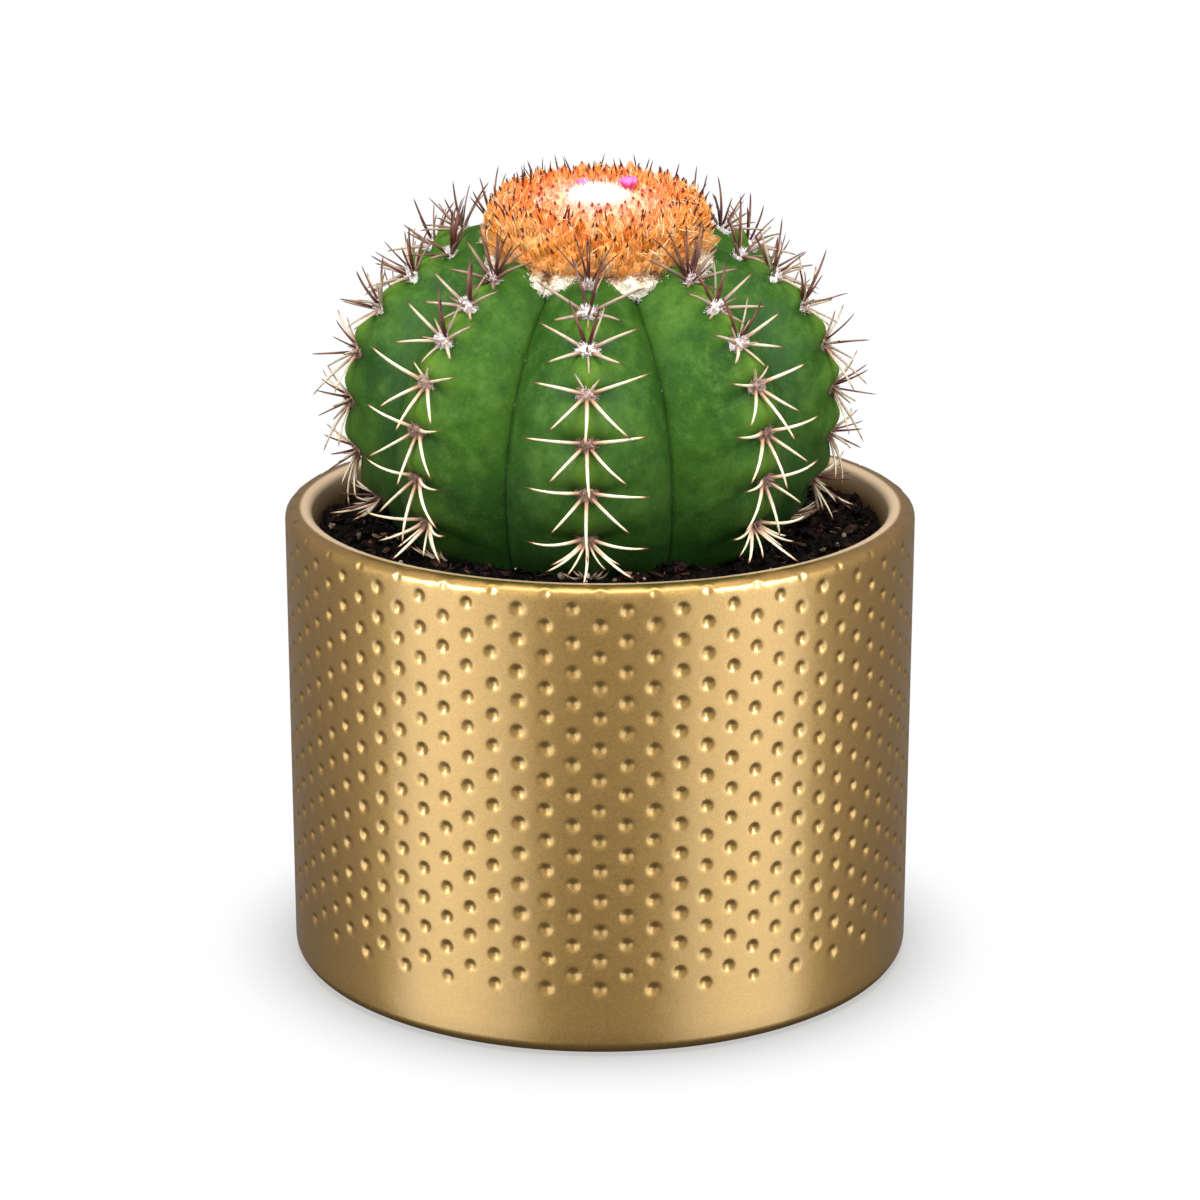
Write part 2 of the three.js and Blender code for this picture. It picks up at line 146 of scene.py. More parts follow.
# Pressed by hand, the dents stray and differ a little, and the top ones on the shoulder are small and shallow
dent_stray = 0.00011
dent_size_play = 0.035
dent_depth_play = 0.07
top_dent_size = 0.7
top_dent_depth = 0.4
cell_across = [1, 1, 1, 0, -1, -1, -1, -1, -1, 0, 1, 1]
cell_up = [0, 0.5, 1, 1, 1, 0.5, 0, -0.5, -1, -1, -1, -0.5]
random = np.random.default_rng(11)
pot_points, pot_faces = [], []
column_width = 2 * math.pi * pot_radius / dent_columns
sides = len(cell_across)
round_turns = even_turns(sides)


def add_to_pot(points, faces):
    start = sum(len(part) for part in pot_points)
    pot_points.append(points)
    pot_faces.extend([[start + int(corner) for corner in face] for face in faces])


for column in range(dent_columns):
    for row in range(column % 2, dent_rows, 2):
        middle = lowest_dent + row * half_pitch
        stray = random.normal(0, dent_stray, 2)
        size = 1 + random.normal(0, dent_size_play)
        deep = 1 + random.normal(0, dent_depth_play)
        if row == dent_rows - 1:
            size *= top_dent_size
            deep *= top_dent_depth
        rings = [wall_points(column + 0.5 * np.array(cell_across),
                             middle + half_pitch * np.array(cell_up), 0.0)]
        for radius, depth in dent_rings:
            across = column + (stray[0] + radius * size * np.cos(round_turns)) / column_width
            up = middle + stray[1] + radius * size * np.sin(round_turns)
            rings.append(wall_points(across, up, depth * deep))
        rings.append(wall_points(column + stray[0] / column_width * np.ones(1),
                                 middle + stray[1] * np.ones(1), dent_depth * deep))
        last = (len(rings) - 2) * sides
        bowl_middle = [[last + n, last + (n + 1) % sides, last + sides] for n in range(sides)]
        add_to_pot(np.concatenate(rings), quads_between(len(rings) - 1, sides).tolist() + bowl_middle)
    # The odd columns start and end half a pitch further in, so plain wall fills their ends
    if column % 2:
        for low in (lowest_dent - half_pitch, lowest_dent + (dent_rows - 1) * half_pitch):
            across = column + 0.5 * np.array([-1, 0, 1] * 3)
            up = low + half_pitch * np.repeat([0, 0.5, 1], 3)
            plain = [[0, 1, 4, 3], [1, 2, 5, 4], [3, 4, 7, 6], [4, 5, 8, 7]]
            add_to_pot(wall_points(across, up, 0.0), plain)

# Everything past the dents is turned: rings of two points to a column
top_of_dents = lowest_dent + dent_rows * half_pitch
foot_edge = 0.0029
under_side = [(0, foot_recess), (0.0535, foot_recess), (0.0545, foot_recess * 0.7),
              (0.0552, 0.0), (0.060, 0.0), *arc((pot_radius - foot_edge, foot_edge), foot_edge, -90, 0, 7),
              (pot_radius, 0.006), (pot_radius, 0.0088), (pot_radius, lowest_dent - half_pitch)]
lip_edge = (float(wall_place(top_of_dents)[0]), float(wall_place(top_of_dents)[1]))
lip_round = 0.0015
inner_side = [lip_edge, (0.0639, pot_height - 0.00003),
              *arc((lip_inner_radius + lip_round, pot_height - 0.0001 - lip_round), lip_round, 90, 180, 6),
              inner_wall_top, (0.0603, 0.07), (0.0597, 0.04), inner_wall_foot,
              (0.0583, 0.0068), (0.0565, pot_floor), (0, pot_floor)]
ring_columns = 2 * dent_columns
ring_turn = (np.arange(ring_columns) / 2 - 0.5) / dent_columns * 2 * math.pi
for profile in (under_side, inner_side):
    rings = [level_ring(radius, height, ring_turn) for radius, height in profile]
    add_to_pot(np.concatenate(rings), quads_between(len(rings), ring_columns))


def plug(node, inputs):
    """Sets a node's plain inputs and links the others."""
    for socket, value in inputs.items():
        if isinstance(value, bpy.types.NodeSocket):
            node.id_data.links.new(value, node.inputs[socket])
        else:
            node.inputs[socket].default_value = value


def node_maker(material):
    """Adds a node to a material and fills its inputs and settings."""
    tree = material.node_tree

    def add(kind, inputs=(), **settings):
        node = tree.nodes.new(kind)
        for setting, value in settings.items():
            setattr(node, setting, value)
        plug(node, dict(inputs))
        return node

    return add


def new_finish(name):
    """A new material, with what adds nodes to it, and its shader."""
    material = bpy.data.materials.new(name)
    material.use_nodes = True
    return material, node_maker(material), material.node_tree.nodes["Principled BSDF"]


def on_piece(add):
    """Places on the piece, in metres."""
    return add("ShaderNodeTexCoord").outputs["Object"]


def carried(add, trait):
    """A value that the piece's points carry."""
    return add("ShaderNodeAttribute", attribute_name=trait).outputs["Fac"]


def patches(add, place, scale, detail, rough=0.5):
    """Soft patches of random levels, finer with a larger scale."""
    noise = {"Vector": place, "Scale": scale, "Detail": detail, "Roughness": rough}
    return add("ShaderNodeTexNoise", noise).outputs["Fac"]


def relief(add, height, strength, depth, **under):
    """Fine relief of the surface, over another one where that is given as its Normal."""
    bumps = {"Height": height, "Strength": strength, "Distance": depth, **under}
    return add("ShaderNodeBump", bumps).outputs["Normal"]


def ramp(add, value, stops):
    """Colours or greys along a value from 0 to 1."""
    node = add("ShaderNodeValToRGB", {"Fac": value})
    stretch = node.color_ramp
    while len(stretch.elements) < len(stops):
        stretch.elements.new(1.0)
    for element, (place, colour) in zip(stretch.elements, stops):
        element.position = place
        element.color = (*colour, 1)
    return node.outputs["Color"]


def mixed(add, amount, first, second):
    """One colour laid over another by an amount from 0 to 1."""
    first, second = ((*colour, 1) if isinstance(colour, tuple) else colour for colour in (first, second))
    return add("ShaderNodeMix", {0: amount, 6: first, 7: second}, data_type="RGBA").outputs[2]


def times(add, first, second):
    return add("ShaderNodeMath", {0: first, 1: second}, operation="MULTIPLY").outputs[0]


def plus(add, first, second):
    return add("ShaderNodeMath", {0: first, 1: second}, operation="ADD").outputs[0]


# The metallic coat: gold flakes in a clear satin glaze, a little uneven, and duller and paler where it lies
# thin, on the lip and inside
gold_glaze, add, shader = new_finish("gold_glaze")
place = on_piece(add)
flakes = patches(add, place, 2600.0, 3.0, 0.6)
clouds = patches(add, place, 90.0, 2.0)
bare = carried(add, "bare")
gold = ramp(add, flakes, [(0.3, (0.61, 0.330, 0.065)), (0.7, (0.80, 0.455, 0.105))])
satin = plus(add, times(add, flakes, 0.14), 0.27)
plug(shader, {"Base Color": mixed(add, bare, gold, (0.85, 0.62, 0.38)),
              "Metallic": plus(add, times(add, bare, -0.45), 1.0),
              "Roughness": plus(add, times(add, bare, 0.25), satin),
              "Specular Tint": (1.0, 0.80, 0.52, 1),
              "Coat Weight": 1.0, "Coat IOR": 1.7, "Coat Roughness": 0.25,
              "Normal": relief(add, clouds, 0.5, 0.0003, Normal=relief(add, flakes, 0.2, 0.00006))})

pot_points = np.concatenate(pot_points)
from_axis = np.hypot(pot_points[:, 0], pot_points[:, 1])
inside = (pot_points[:, 2] > foot_recess + 0.002) & (from_axis < lip_edge[0] - 0.0002)
on_lip = pot_points[:, 2] > pot_height - 0.003
bare = np.where(inside, np.where(on_lip, 1.0, 0.4), 0.0)
pot = make_piece("pot_dented", pot_points, pot_faces, gold_glaze, {"bare": bare}, weld=True)
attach(pot, "root")
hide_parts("pot")


# ---- Soil ----
# Dark damp peat in crumbly clods, with bark chips, a little grit and dry fibres, filling the pot to just
# under the lip. The plant's base stands in it, and loose clods lie against the wall and round the plant.

soil_surface = 0.095
soil_edge = 0.0602
soil_roughness = 0.00022
random = np.random.default_rng(3)

# Swells of the ground: the way they run, their length, height and shift
soil_swells = [((1, 0.3), 0.021, 0.0005, 0.3), ((-0.4, 1), 0.016, 0.0005, 1.9),
               ((0.8, -0.7), 0.0085, 0.00035, 4.0), ((0.2, 1), 0.0061, 0.0003, 2.2),
               ((1, 0.9), 0.0037, 0.00025, 0.7), ((-1, 0.4), 0.0029, 0.0002, 5.1)]


def ground_height(x, y):
    """Height of the soil: long swells, then ones of a few millimetres."""
    height = np.full_like(x, soil_surface - 0.0006)
    for (east, north), length, high, shift in soil_swells:
        height = height + high * np.sin((east * x + north * y) * 2 * math.pi / length + shift)
    return height


soil_columns = 540
soil_radii = np.concatenate([np.linspace(0.026, 0.044, 14), np.linspace(0.0446, soil_edge, 27)])
soil_turn = even_turns(soil_columns)
rings = [level_ring(0, 0.0925, soil_turn)]
for radius in soil_radii:
    x, y, _ = level_ring(radius, 0, soil_turn).T
    rough = random.normal(0, soil_roughness, soil_columns)
    rings.append(np.stack([x, y, ground_height(x, y) + rough], axis=1))
under_soil = [(soil_edge, 0.080), (0.0589, 0.012), (0.0560, 0.0062), (0.0, 0.0062)]
rings += [level_ring(radius, height, soil_turn) for radius, height in under_soil]

peat, add, shader = new_finish("peat")
crumb = patches(add, on_piece(add), 650.0, 6.0, 0.7)
dirt = ramp(add, crumb, [(0.35, (0.0015, 0.001, 0.001)), (0.55, (0.006, 0.004, 0.003)),
                         (0.70, (0.022, 0.012, 0.009)), (0.80, (0.060, 0.036, 0.026))])
plug(shader, {"Base Color": dirt, "Roughness": 0.85, "Specular IOR Level": 0.1,
              "Normal": relief(add, crumb, 1.0, 0.0012)})
ground = make_piece("soil_ground", np.concatenate(rings),
                    quads_between(len(rings), soil_columns)[:, ::-1].tolist(), peat, weld=True)
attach(ground, "root")
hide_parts("soil")

# A lump starts as a solid with twenty equal sides
golden = (1 + math.sqrt(5)) / 2
lump_corners = np.array([(-1, golden, 0), (1, golden, 0), (-1, -golden, 0), (1, -golden, 0),
                         (0, -1, golden), (0, 1, golden), (0, -1, -golden), (0, 1, -golden),
                         (golden, 0, -1), (golden, 0, 1), (-golden, 0, -1), (-golden, 0, 1)]) / 1.9
lump_faces = np.array([(0, 11, 5), (0, 5, 1), (0, 1, 7), (0, 7, 10), (0, 10, 11), (1, 5, 9), (5, 11, 4),
                       (11, 10, 2), (10, 7, 6), (7, 1, 8), (3, 9, 4), (3, 4, 2), (3, 2, 6), (3, 6, 8),
                       (3, 8, 9), (4, 9, 5), (2, 4, 11), (6, 2, 10), (8, 6, 7), (9, 8, 1)])


def units(vectors):
    """Each of many vectors made one long."""
    return vectors / np.linalg.norm(vectors, axis=-1, keepdims=True)


def random_turns(n):
    """Turns in every direction, as matrices."""
    w, x, y, z = units(random.normal(0, 1, (n, 4))).T
    rows = [1 - 2 * (y * y + z * z), 2 * (x * y - z * w), 2 * (x * z + y * w),
            2 * (x * y + z * w), 1 - 2 * (x * x + z * z), 2 * (y * z - x * w),
            2 * (x * z - y * w), 2 * (y * z + x * w), 1 - 2 * (x * x + y * y)]
    return np.stack(rows, axis=1).reshape(n, 3, 3)


def soil_spots(n, inner, outer):
    """Places spread evenly over a ring of the soil."""
    radius = np.sqrt(random.uniform(inner ** 2, outer ** 2, n))
    x, y, _ = turned(radius, 0, random.uniform(0, 2 * math.pi, n)).T
    return np.stack([x, y, ground_height(x, y)], axis=1)


def lumps_at(places, sizes, roughness, tones, lie_flat=False):
    """Rough stones or chips of the given sizes, each turned its own way."""
    n = len(places)
    corners = lump_corners[None] * (1 + random.uniform(-roughness, roughness, (n, 12, 3)))
    corners = corners * sizes[:, None, :]
    turns = random_turns(n)
    if lie_flat:
        tilt = random.normal(0, 0.3, (n, 3))
        spin = random.uniform(0, 2 * math.pi, n)
        zero, one = np.zeros(n), np.ones(n)
        turns = np.stack([np.cos(spin), -np.sin(spin), zero, np.sin(spin), np.cos(spin), zero,
                          zero, zero, one], axis=1).reshape(n, 3, 3)
        turns = turns + np.stack([zero, zero, tilt[:, 0], zero, zero, tilt[:, 1],
                                  -tilt[:, 0], -tilt[:, 1], zero], axis=1).reshape(n, 3, 3)
    corners = np.einsum("nij,nkj->nki", turns, corners) + places[:, None]
    faces = (np.arange(n)[:, None, None] * 12 + lump_faces[None]).reshape(-1, 3)
    return corners.reshape(-1, 3), faces.tolist(), {"tone": np.repeat(tones, 12)}


def levels(add, value, low, high, to_low=0.0, to_high=1.0):
    """Stretches a value's range, held within its ends."""
    return add("ShaderNodeMapRange", {"Value": value, "From Min": low, "From Max": high,
                                      "To Min": to_low, "To Max": to_high}).outputs["Result"]


def soil_finish(name, stops, scale, roughness):
    """A natural finish: each lump has its own tone, broken up by a fine grain."""
    finish, add, shader = new_finish(name)
    grain = patches(add, on_piece(add), scale, 4.0)
    both = plus(add, carried(add, "tone"), levels(add, grain, 0.3, 0.7, -0.24, 0.24))
    plug(shader, {"Base Color": ramp(add, both, stops), "Roughness": roughness, "Specular IOR Level": 0.1,
                  "Normal": relief(add, grain, 0.8, 0.0006)})
    return finish


dark_crumb = soil_finish("dark_crumb", [(0.0, (0.0008, 0.0004, 0.0003)), (0.50, (0.0035, 0.0016, 0.0010)),
                                        (0.80, (0.024, 0.009, 0.005)), (1.0, (0.14, 0.060, 0.034))],
                         1100.0, 0.62)
bark = soil_finish("bark", [(0.0, (0.008, 0.004, 0.002)), (0.6, (0.045, 0.018, 0.010)),
                            (1.0, (0.26, 0.15, 0.09))], 700.0, 0.7)
pale_grit = soil_finish("pale_grit", [(0.0, (0.10, 0.07, 0.05)), (0.6, (0.26, 0.21, 0.16)),
                                      (1.0, (0.60, 0.55, 0.47))], 600.0, 0.6)

# Clods of crumbs, and single crumbs between them
clod_count = 300
crumbs_per_clod = 15
largest_crumb = 0.0016
palest_crumb = 0.62
clods = soil_spots(clod_count, 0.040, soil_edge - 0.0032)
clod_size = random.uniform(0.0008, 0.0027, clod_count)
owner = np.repeat(np.arange(clod_count), crumbs_per_clod)
spread = random.normal(0, 0.5, (len(owner), 3)) * [1, 1, 0.6]
in_clod = clods[owner] + spread * clod_size[owner][:, None] + [0, 0, 0.0004]
loose_count = 2600
places = np.concatenate([in_clod, soil_spots(loose_count, 0.036, soil_edge - 0.0012)])
from_middle = np.hypot(places[:, 0], places[:, 1])
places[:, :2] *= np.minimum(1, (soil_edge - 0.001) / from_middle)[:, None]
sizes = random.lognormal(-7.5, 0.42, (len(places), 1)) * random.uniform(0.6, 1.4, (len(places), 3))
sizes = np.minimum(sizes, largest_crumb)
tones = np.concatenate([np.clip(random.uniform(0.0, palest_crumb, clod_count)[owner]
                                + random.normal(0, 0.16, len(owner)), 0, 1),
                        random.uniform(0, palest_crumb, loose_count)])
points, faces, traits = lumps_at(places, sizes, 0.3, tones)
crumbs = make_piece("soil_crumbs", points, faces, dark_crumb, traits, smooth=False)

# The last of the chips are only slivers and dry fibres
chip_count = 260
whole_chips = 150
fibre_like = np.arange(chip_count)[:, None] >= whole_chips
above_ground = 0.0011
places = soil_spots(chip_count, 0.042, soil_edge - 0.003)
sizes = random.uniform(0.0006, 0.0021, (chip_count, 1)) * random.uniform(0.7, 1.3, (chip_count, 3))
sizes = sizes * np.where(fibre_like, [1.1, 0.10, 0.08], [1.0, 0.5, 0.15])
places[:, 2] += above_ground
tones = random.uniform(0, 1, chip_count) ** 2
points, faces, traits = lumps_at(places, sizes, 0.4, tones, lie_flat=True)
chips = make_piece("bark_chips", points, faces, bark, traits, smooth=False)

grit_count = 46
places = soil_spots(grit_count, 0.044, soil_edge - 0.002)
sizes = random.uniform(0.00025, 0.0008, (grit_count, 1)) * random.uniform(0.6, 1.3, (grit_count, 3))
places[:, 2] += above_ground
tones = random.uniform(0, 1, grit_count)
points, faces, traits = lumps_at(places, sizes, 0.2, tones)
grit = make_piece("grit", points, faces, pale_grit, traits, smooth=False)
for loose in (crumbs, chips, grit):
    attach(loose, "root")
    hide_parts("soil")


# ---- Cactus body ----
# One round green body, ribbed all round, that grew from a root in the soil. Its skin is waxy and fleshy.
# Each rib is notched where its areoles are, bulges between them, and meets the next rib in a sharp crease.

plant_lean = math.radians(8)
plant_pivot = np.array([-0.00175, 0, 0.11])
lean_turn = np.array([[1, 0, 0],
                      [0, math.cos(plant_lean), -math.sin(plant_lean)],
                      [0, math.sin(plant_lean), math.cos(plant_lean)]])
ridge = {"radius": 0.05065, "height": 0.1224, "rise": 0.0384, "drop": 0.0467, "upper": 0.85, "lower": 1.07}
groove = {"radius": 0.0452, "height": 0.116, "rise": 0.0433, "drop": 0.045, "upper": 1.0, "lower": 1.0}
# Each rib: its angle from the front, how far down its first areole is (in areoles), and their spacing
ribs = [(-160, 0.2, 1), (-121.5, 0.55, 1), (-83, 0.1, 1.1), (-44, 0, 1), (-1, 0.7, 1.02),
        (43.7, 0.05, 1), (85, 0.3, 1), (123, 0.6, 1), (161, 0, 1.02)]
first_areole_radius = 0.0286
areoles_per_rib = 9
areole_pitch = 0.0079
pitch_growth = 0.00025
bulge_height = 0.0022
bulge_power = 1.45
flank_power = 1.6
crease_depth = 0.0004


def leaning(points):
    """Moves points of the upright plant to where it leans in its pot."""
    upright = np.asarray(points) - np.array([0, 0, plant_pivot[2]])
    return upright @ lean_turn.T + plant_pivot


def side_point(latitude, curve):
    """Radius and height of a side curve at a latitude."""
    up = np.sin(latitude) >= 0
    power = np.where(up, curve["upper"], curve["lower"])
    reach = np.where(up, curve["rise"], -curve["drop"])
    radius = curve["radius"] * np.maximum(np.cos(latitude), 0) ** power
    return radius, curve["height"] + reach * np.abs(np.sin(latitude)) ** power


# The ridge measured along its length, from a little over where the first areole can be, down to the base
rows_over_first = 40
top_latitude = math.acos((first_areole_radius / ridge["radius"]) ** (1 / ridge["upper"]))
latitudes_down = top_latitude - 0.006 * np.arange(-rows_over_first, 401)
ridge_line = np.stack(side_point(latitudes_down, ridge), axis=1)
ridge_lengths = np.concatenate([[0], np.cumsum(np.linalg.norm(np.diff(ridge_line, axis=0), axis=1))])


def areole_latitude(count):
    """Latitude of a place along the ridge, counted in areoles: they are wider apart further down."""
    length = ridge_lengths[rows_over_first] + areole_pitch * count + pitch_growth * count * np.abs(count)
    return np.interp(length, ridge_lengths, latitudes_down)


def ridge_normal(latitude):
    """Outward direction of the ridge, as radius and height."""
    above, below = side_point(latitude + 0.01, ridge), side_point(latitude - 0.01, ridge)
    along = np.stack([above[0] - below[0], above[1] - below[1]])
    along = along / np.linalg.norm(along, axis=0)
    return along[1], -along[0]


# Columns from a ridge (0) to the groove (1), closest together at both, and back up to the next ridge
off_steps = np.array([0, 0.03, 0.065, 0.105, 0.155, 0.22, 0.30, 0.39,
                      0.49, 0.59, 0.69, 0.78, 0.86, 0.92, 0.96, 0.985])
off_of_rib = np.concatenate([off_steps, [1], off_steps[:0:-1]])
share = np.concatenate([off_steps / 2, [0.5], 1 - off_steps[:0:-1] / 2])
rows_per_areole = 12
angle, start, spacing = [], [], []
for number, rib in enumerate(ribs):
    after = ribs[(number + 1) % len(ribs)]
    wrap = 360 if after[0] < rib[0] else 0
    angle.append(np.radians(rib[0] + share * (after[0] + wrap - rib[0])))
    start.append(rib[1] + share * (after[1] - rib[1]))
    spacing.append(rib[2] + share * (after[2] - rib[2]))
angle, start, spacing = (np.concatenate(each)[None, :] for each in (angle, start, spacing))
off = np.tile(off_of_rib, len(ribs))[None, :]
count = np.arange(-8, 101)[:, None] / rows_per_areole

latitude = areole_latitude(np.maximum(count, 0) * spacing + np.minimum(count, 0) + start)
ridge_radius, ridge_height = side_point(latitude, ridge)
groove_radius, groove_height = side_point(latitude, groove)
towards_groove = off ** flank_power
out_radius, out_height = ridge_normal(latitude)
below_areole = count - np.floor(count)
full = np.sin(math.pi * below_areole ** bulge_power) * (count > 0)
crease = crease_depth * np.clip((off - 0.96) / 0.04, 0, 1) ** 2
stand = bulge_height * full * (1 - off ** 1.3) ** 4.5 - crease
skin_radius = ridge_radius + (groove_radius - ridge_radius) * towards_groove + out_radius * stand
skin_height = ridge_height + (groove_height - ridge_height) * towards_groove + out_height * stand
skin_columns = off.shape[1]
base = [(0.012, 0.078), (0.008, 0.064), (0.0, 0.064)]
crown = [(0.012, 0.1603), (0.0, 0.1608)]
rings = [level_ring(radius, height, angle[0]) for radius, height in crown[::-1]]
rings += list(turned(skin_radius, skin_height, np.broadcast_to(angle, skin_radius.shape)))
rings += [level_ring(radius, height, angle[0]) for radius, height in base]
skin_points = np.concatenate(rings)
# Slow unevenness of the skin: the way it runs, its length, shift and height
skin_swells = [((0.8, 0.5, 0.3), 0.017, 0.4, 0.00012), ((-0.4, 0.9, 0.6), 0.011, 2.1, 0.00010),
               ((0.3, -0.6, 0.9), 0.0073, 4.0, 0.00007)]
waves = sum(np.sin(skin_points @ (np.array(way) * 2 * math.pi / length) + shift) * high
            for way, length, shift, high in skin_swells)
body_middle = np.array([0, 0, 0.118])
outwards = skin_points - body_middle
outwards /= np.maximum(np.linalg.norm(outwards, axis=1, keepdims=True), 1e-6)
skin_points = skin_points + outwards * waves[:, None]

# What the skin's colour depends on: how far below an areole, how far out on the bulge, how near the groove
grown_rows = slice(len(crown), len(rings) - len(base))
# A painted highlight on each bulge below an areole, strongest towards the ridge
bulge_highlight_weight = np.zeros((len(rings), skin_columns))
bulge_highlight_weight[grown_rows] = full * (1 - off) ** 4
# Painted shade in the hollows of the notches, beside the ridge at each areole
notch_shade_weight = np.zeros((len(rings), skin_columns))
beside_ridge = np.exp(-((off - 0.14) / 0.09) ** 2)
notch_shade_weight[grown_rows] = np.cos(math.pi * below_areole) ** 6 * beside_ridge * (count > 0)
groove_trait = np.ones((len(rings), skin_columns))
groove_trait[grown_rows] = np.broadcast_to(off, skin_radius.shape)

cactus_skin, add, shader = new_finish("cactus_skin")
place = on_piece(add)
height = add("ShaderNodeSeparateXYZ", {"Vector": place}).outputs["Z"]
bulge_highlight, notch_shade, to_groove = (carried(add, trait) for trait in ("bulge_highlight", "notch_shade", "to_groove"))
mottle = patches(add, place, 240.0, 6.0, 0.75)
wash = patches(add, place, 55.0, 3.0, 0.6)
speck = levels(add, patches(add, place, 3600.0, 1.0), 0.62, 0.76, 0.0, 0.20)
dust = levels(add, patches(add, place, 1500.0, 2.0), 0.66, 0.74)
green = ramp(add, wash, [(0.30, (0.015, 0.062, 0.004)), (0.50, (0.031, 0.098, 0.006)),
                         (0.68, (0.057, 0.138, 0.010))])
# Washes over the green, each with where it lies: mottling, a painted highlight on the bulges, the ridge,
# painted shade in the notches' hollows, on the side and in the bottom of the groove and low on the plant's
# foot, fine specks, and dust in the groove
for where, wash_colour in [
    (levels(add, mottle, 0.50, 0.68, 0.0, 0.62), (0.088, 0.180, 0.032)),
    (levels(add, mottle, 0.50, 0.33, 0.0, 0.62), (0.011, 0.046, 0.003)),
    (times(add, levels(add, bulge_highlight, 0.1, 0.9), 0.55), (0.13, 0.25, 0.016)),
    (levels(add, to_groove, 0.035, 0.0, 0.0, 0.2), (0.18, 0.24, 0.022)),
    (times(add, notch_shade, 0.5), (0.009, 0.036, 0.003)),
    # painted shade on the flanks near the groove, then a darker line of painted shade in its bottom
    (levels(add, to_groove, 0.60, 0.96, 0.0, 0.42), (0.010, 0.044, 0.002)),
    (levels(add, to_groove, 0.975, 1.0, 0.0, 0.75), (0.005, 0.020, 0.002)),
    # painted shade low on the body, where it turns under towards the soil
    (levels(add, height, 0.122, 0.098, 0.0, 0.80), (0.006, 0.026, 0.003)),
    (speck, (0.19, 0.32, 0.12)),
    (times(add, dust, levels(add, to_groove, 0.985, 0.995, 0.0, 0.4)), (0.55, 0.58, 0.48)),
]:
    green = mixed(add, where, green, wash_colour)
plug(shader, {"Base Color": green, "Roughness": levels(add, mottle, 0.3, 0.7, 0.48, 0.64),
              "Specular IOR Level": 0.16, "Subsurface Weight": 0.08, "Subsurface Radius": (0.3, 0.8, 0.2),
              "Subsurface Scale": 0.002, "Normal": relief(add, mottle, 0.4, 0.0004)})

skin_faces = quads_between(len(rings), skin_columns)[:, ::-1].tolist()
body = make_piece("cactus_body", leaning(skin_points), skin_faces, cactus_skin,
                  {"bulge_highlight": bulge_highlight_weight.ravel(), "notch_shade": notch_shade_weight.ravel(),
                   "to_groove": groove_trait.ravel()}, weld=True)
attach(body, "root")
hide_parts("cactus")


# ---- Spines ----
# Stiff horny spines, five to fifteen to a cushion, that curve a little back towards the body. The low ones
# are cream with brown tips, the young ones near the crown are darker, and all grew from the areoles.

cap_middle = 0.0013
cap_radius = 0.0229
cap_bottom = 0.1573
cap_top = 0.1672
# Shares sideways, down the ridge and outwards, and the length
lower_spines = [(-1, -0.2, 0.42, 0.0115), (1, -0.2, 0.42, 0.0115), (-0.75, 0.75, 0.35, 0.0105),
                (0.75, 0.75, 0.35, 0.0105), (0, 1, 0.5, 0.0105)]
upper_spines = [(-0.95, -0.3, 0.5, 0.0105), (0.95, -0.3, 0.5, 0.0105), (-0.8, 0.5, 0.4, 0.009),
                (0.8, 0.5, 0.4, 0.009), (-0.35, -0.9, 0.6, 0.0105), (0.3, -0.5, 1, 0.0115)]
upper_count = 2.5
root_spread = 0.0011
root_outset = 0.0004
root_depth = 0.0005
buried_below = 0.0002
covered_below = 0.0036
soil_room = 0.004
cap_room = 0.0042


def seeded(state):
    """The same even random numbers as the solid spines are drawn with."""
    while True:
        state = (state * 1664525 + 1013904223) % 4294967296
        yield state / 4294967296


def unit(vector):
    return vector / np.linalg.norm(vector)


# Each areole: where it is, its directions sideways, down and out, its number and how far down the rib, in
# areoles. Number -1 is for one more at either end: a still younger one by the cap, an old one at the soil.
areoles = []
for rib_angle, rib_start, rib_spacing in ribs:
    way = math.radians(rib_angle)
    for number in range(-1 if rib_start > 0.5 else 0, areoles_per_rib):
        count = number * (rib_spacing if number > 0 else 1) + rib_start
        latitude = areole_latitude(count)
        radius, rise = side_point(latitude, ridge)
        slope = ridge_normal(latitude)
        side = np.array([math.cos(way), math.sin(way), 0])
        out = np.array([slope[0] * math.sin(way), -slope[0] * math.cos(way), slope[1]])
        point = np.array([radius * math.sin(way), -radius * math.cos(way), rise])
        above_soil = leaning(point)[2] - soil_surface
        if above_soil < covered_below:
            number = -1
        if above_soil > buried_below:
            areoles.append((point, side, np.cross(side, out), out, number, count))


def clear_of_soil_and_cap(start, reach, room=cap_room):
    """Turns a spine that would touch the soil upwards, and one that would enter the cap outwards."""
    outward = unit(start * [1, 1, 0])
    lift = max(soil_surface + soil_room - leaning(start + reach)[2], 0)
    height = reach[2] + lift
    across = reach * [1, 1, 0] + outward * lift
    if lift > 0:
        across = unit(across) * math.sqrt(max(reach @ reach - height ** 2, 1e-6))
    tip = start + across
    inside = max(cap_radius + cap_middle + room - math.hypot(tip[0], tip[1]), 0)
    if tip[2] + height > cap_bottom - 0.004:
        across = across + outward * inside
    return across + [0, 0, height]


